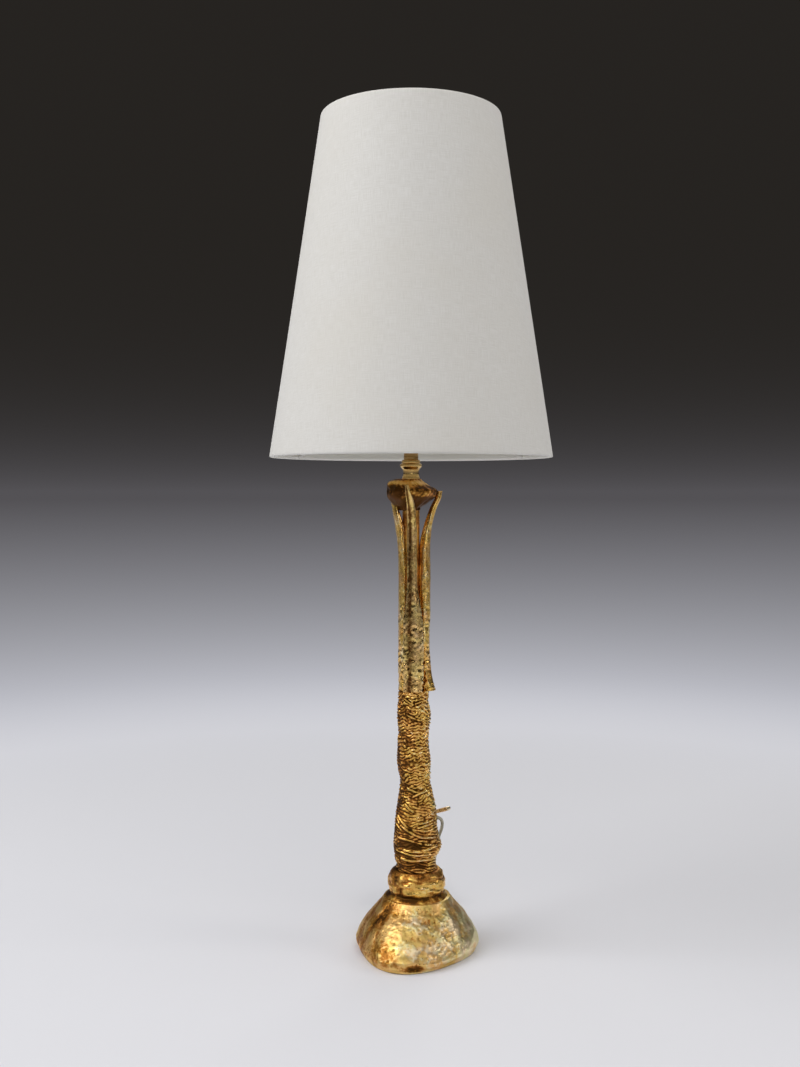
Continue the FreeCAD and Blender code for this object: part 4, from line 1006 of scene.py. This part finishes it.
# %% [markdown]
# ## Fittings
#
# The turned and pressed pieces come straight from the CAD model: their shapes are already right, so
# each only gets a finish, through its material slots. The finishes are read from the object's own
# coordinates. Turned brass has rings round the lamp's axis, so its fine lines run round it too.

# %% Finishing a solid
def finish_nodes(material, names):
    """Gives the CAD solids of a list of names a material."""
    for name in names.split():
        slots = nodes[name].material_slots
        if len(slots):
            for slot in slots:
                slot.material = material
        else:
            nodes[name].data.materials.append(material)


# %% Wear group
def wear_group():
    """Colour, roughness and height of a plain material: a light and a dark shade, cloudy and speckled."""
    group, given = new_group("wear", {
        "Light": (0.8, 0.8, 0.8, 1), "Dark": (0.4, 0.4, 0.4, 1), "Size": 40.0, "Stretch": (1, 1, 1),
        "Smooth": 0.25, "Rough": 0.45})
    place = vector_math(group, "MULTIPLY", {0: object_place(group), 1: given["Stretch"]})
    clouds = noise(group, place, given["Size"], 5.0)
    fine = noise(group, place, times(group, given["Size"], 22.0), 3.0)
    share = ramp(group, plus(group, times(group, clouds, 0.65), fine, 0.35), 0.36, 0.64)
    rough = add(group, "ShaderNodeMix", {"Factor": share, "A": given["Rough"], "B": given["Smooth"]})
    add(group, "NodeGroupOutput", {"Color": mix(group, share, given["Dark"], given["Light"]),
                                   "Roughness": rough.outputs[0], "Height": fine})
    return group


wear = wear_group()


def plain_finish(name, light, dark, smooth, rough, size=40.0, stretch=(1, 1, 1), bump=0.15, **shader):
    """A material whose colour and roughness wander between two values."""
    material, tree, output = empty_material(name)
    worn = add(tree, "ShaderNodeGroup", {"Light": (*light, 1), "Dark": (*dark, 1), "Size": size,
                                         "Stretch": stretch, "Smooth": smooth, "Rough": rough},
               node_tree=wear).outputs
    principled(tree, output, {
        "Base Color": worn["Color"], "Roughness": worn["Roughness"],
        "Normal": bumped(tree, bump, 0.0002, worn["Height"]),
        **{key.replace("_", " "): value for key, value in shader.items()}})
    return material


# %% Metals
round_axis = (1, 1, 14)
turned_brass = plain_finish("turned_brass", (0.92, 0.66, 0.26), (0.40, 0.205, 0.05), 0.09, 0.26, 80.0,
                            round_axis, 0.12, Metallic=1.0)
tube_brass = plain_finish("tarnished_brass", (0.62, 0.40, 0.16), (0.26, 0.135, 0.035), 0.26, 0.46, 55.0,
                          round_axis, Metallic=1.0)
steel = plain_finish("zinc_steel", (0.62, 0.63, 0.64), (0.42, 0.42, 0.41), 0.28, 0.48, 90.0, Metallic=1.0)
white_wire = plain_finish("coated_wire", (0.72, 0.71, 0.68), (0.60, 0.58, 0.53), 0.35, 0.5, 80.0)
finish_nodes(turned_brass, "neck_ferrule switch_nut cord_bush holder_cap holder_nipple centre_contact")
finish_nodes(turned_brass, "plug_pins threaded_socket holder_terminals switch_terminals switch_bush")
finish_nodes(tube_brass, "stem_tube holder_shell bulb_cap")
finish_nodes(steel, "base_bolt base_washer tube_nut")
finish_nodes(white_wire, "bottom_wire top_wire carrier_ring carrier_arms")
# painted highlight: the sleeve's gilding is toned much paler, for the glint that it shows between the leaves
finish_nodes(gilt("sleeve_gilding", Tone=0.42, Pits=0.4, Patches=80.0, Rubbed=0.34), "stem_sleeve")

# %% Porcelain, fibre, felt, plastics and glass
clear = {"Transmission_Weight": 0.35, "IOR": 1.48}
for solids, finish, more in (
        ("holder_core", ("porcelain", (0.80, 0.79, 0.75), (0.70, 0.68, 0.62), 0.12, 0.22, 70.0), {}),
        ("fibre_washer", ("pressed_fibre", (0.20, 0.07, 0.05), (0.12, 0.04, 0.03), 0.55, 0.75, 120.0),
         {"bump": 0.4}),
        ("felt_pad", ("felt", (0.035, 0.032, 0.028), (0.012, 0.011, 0.010), 0.92, 0.98, 200.0),
         {"bump": 0.8}),
        ("switch_body shade_ring",
         ("dark_moulding", (0.055, 0.05, 0.045), (0.03, 0.027, 0.024), 0.3, 0.5, 60.0), {}),
        ("bulb_glass bulb_stem", ("opal_glass", (0.88, 0.87, 0.84), (0.80, 0.79, 0.75), 0.10, 0.18, 30.0),
         {"bump": 0.03, "Coat_Weight": 0.4}),
        ("plug_body feed_lead lamp_lead",
         ("clear_moulding", (0.66, 0.65, 0.58), (0.52, 0.50, 0.42), 0.18, 0.34, 70.0),
         {"bump": 0.08, **clear}),
        ("hank_tie", ("tie_ribbon", (0.70, 0.69, 0.66), (0.48, 0.47, 0.44), 0.45, 0.65, 160.0),
         {"stretch": (1, 6, 1), "bump": 0.4})):
    finish_nodes(plain_finish(*finish, **more), solids)
flex_data.materials.append(plain_finish(
    "clear_flex", (0.56, 0.54, 0.44), (0.36, 0.34, 0.24), 0.16, 0.30, 90.0, bump=0.05, **clear))

# %% [markdown]
# ## The toggle
#
# The switch's toggle is a short brass lever, tarnished at its shank and rubbed bright at its round
# tip, where fingers touch it. The distance from its pivot tells which is which.

# %% Toggle material
pivot, tip_from, tip_to = (0.0115, 0.0101, 0.1147), 0.0285, 0.034
material, tree, output = empty_material("toggle_brass")
place = object_place(tree)
away = vector_math(tree, "DISTANCE", {0: place, 1: pivot}, "Value")
grain = noise(tree, place, 500.0, 3.0)
reach = plus(tree, away, grain, 0.004)
colour = mix(tree, ramp(tree, grain, 0.35, 0.65), (0.30, 0.14, 0.045, 1), (0.78, 0.48, 0.18, 1))
colour = mix(tree, ramp(tree, reach, tip_from, tip_to), colour, (0.93, 0.78, 0.52, 1))
principled(tree, output, {"Base Color": colour, "Roughness": ramp(tree, reach, 0.028, tip_to, 0.36, 0.2),
                          "Metallic": 1.0, "Normal": bumped(tree, 0.12, 0.0002, grain)})
finish_nodes(material, "toggle_lever")
left_out = sorted(set(nodes) - {o.name for o in nodes.values() if len(o.material_slots)})
print("solids without a finish:", left_out)
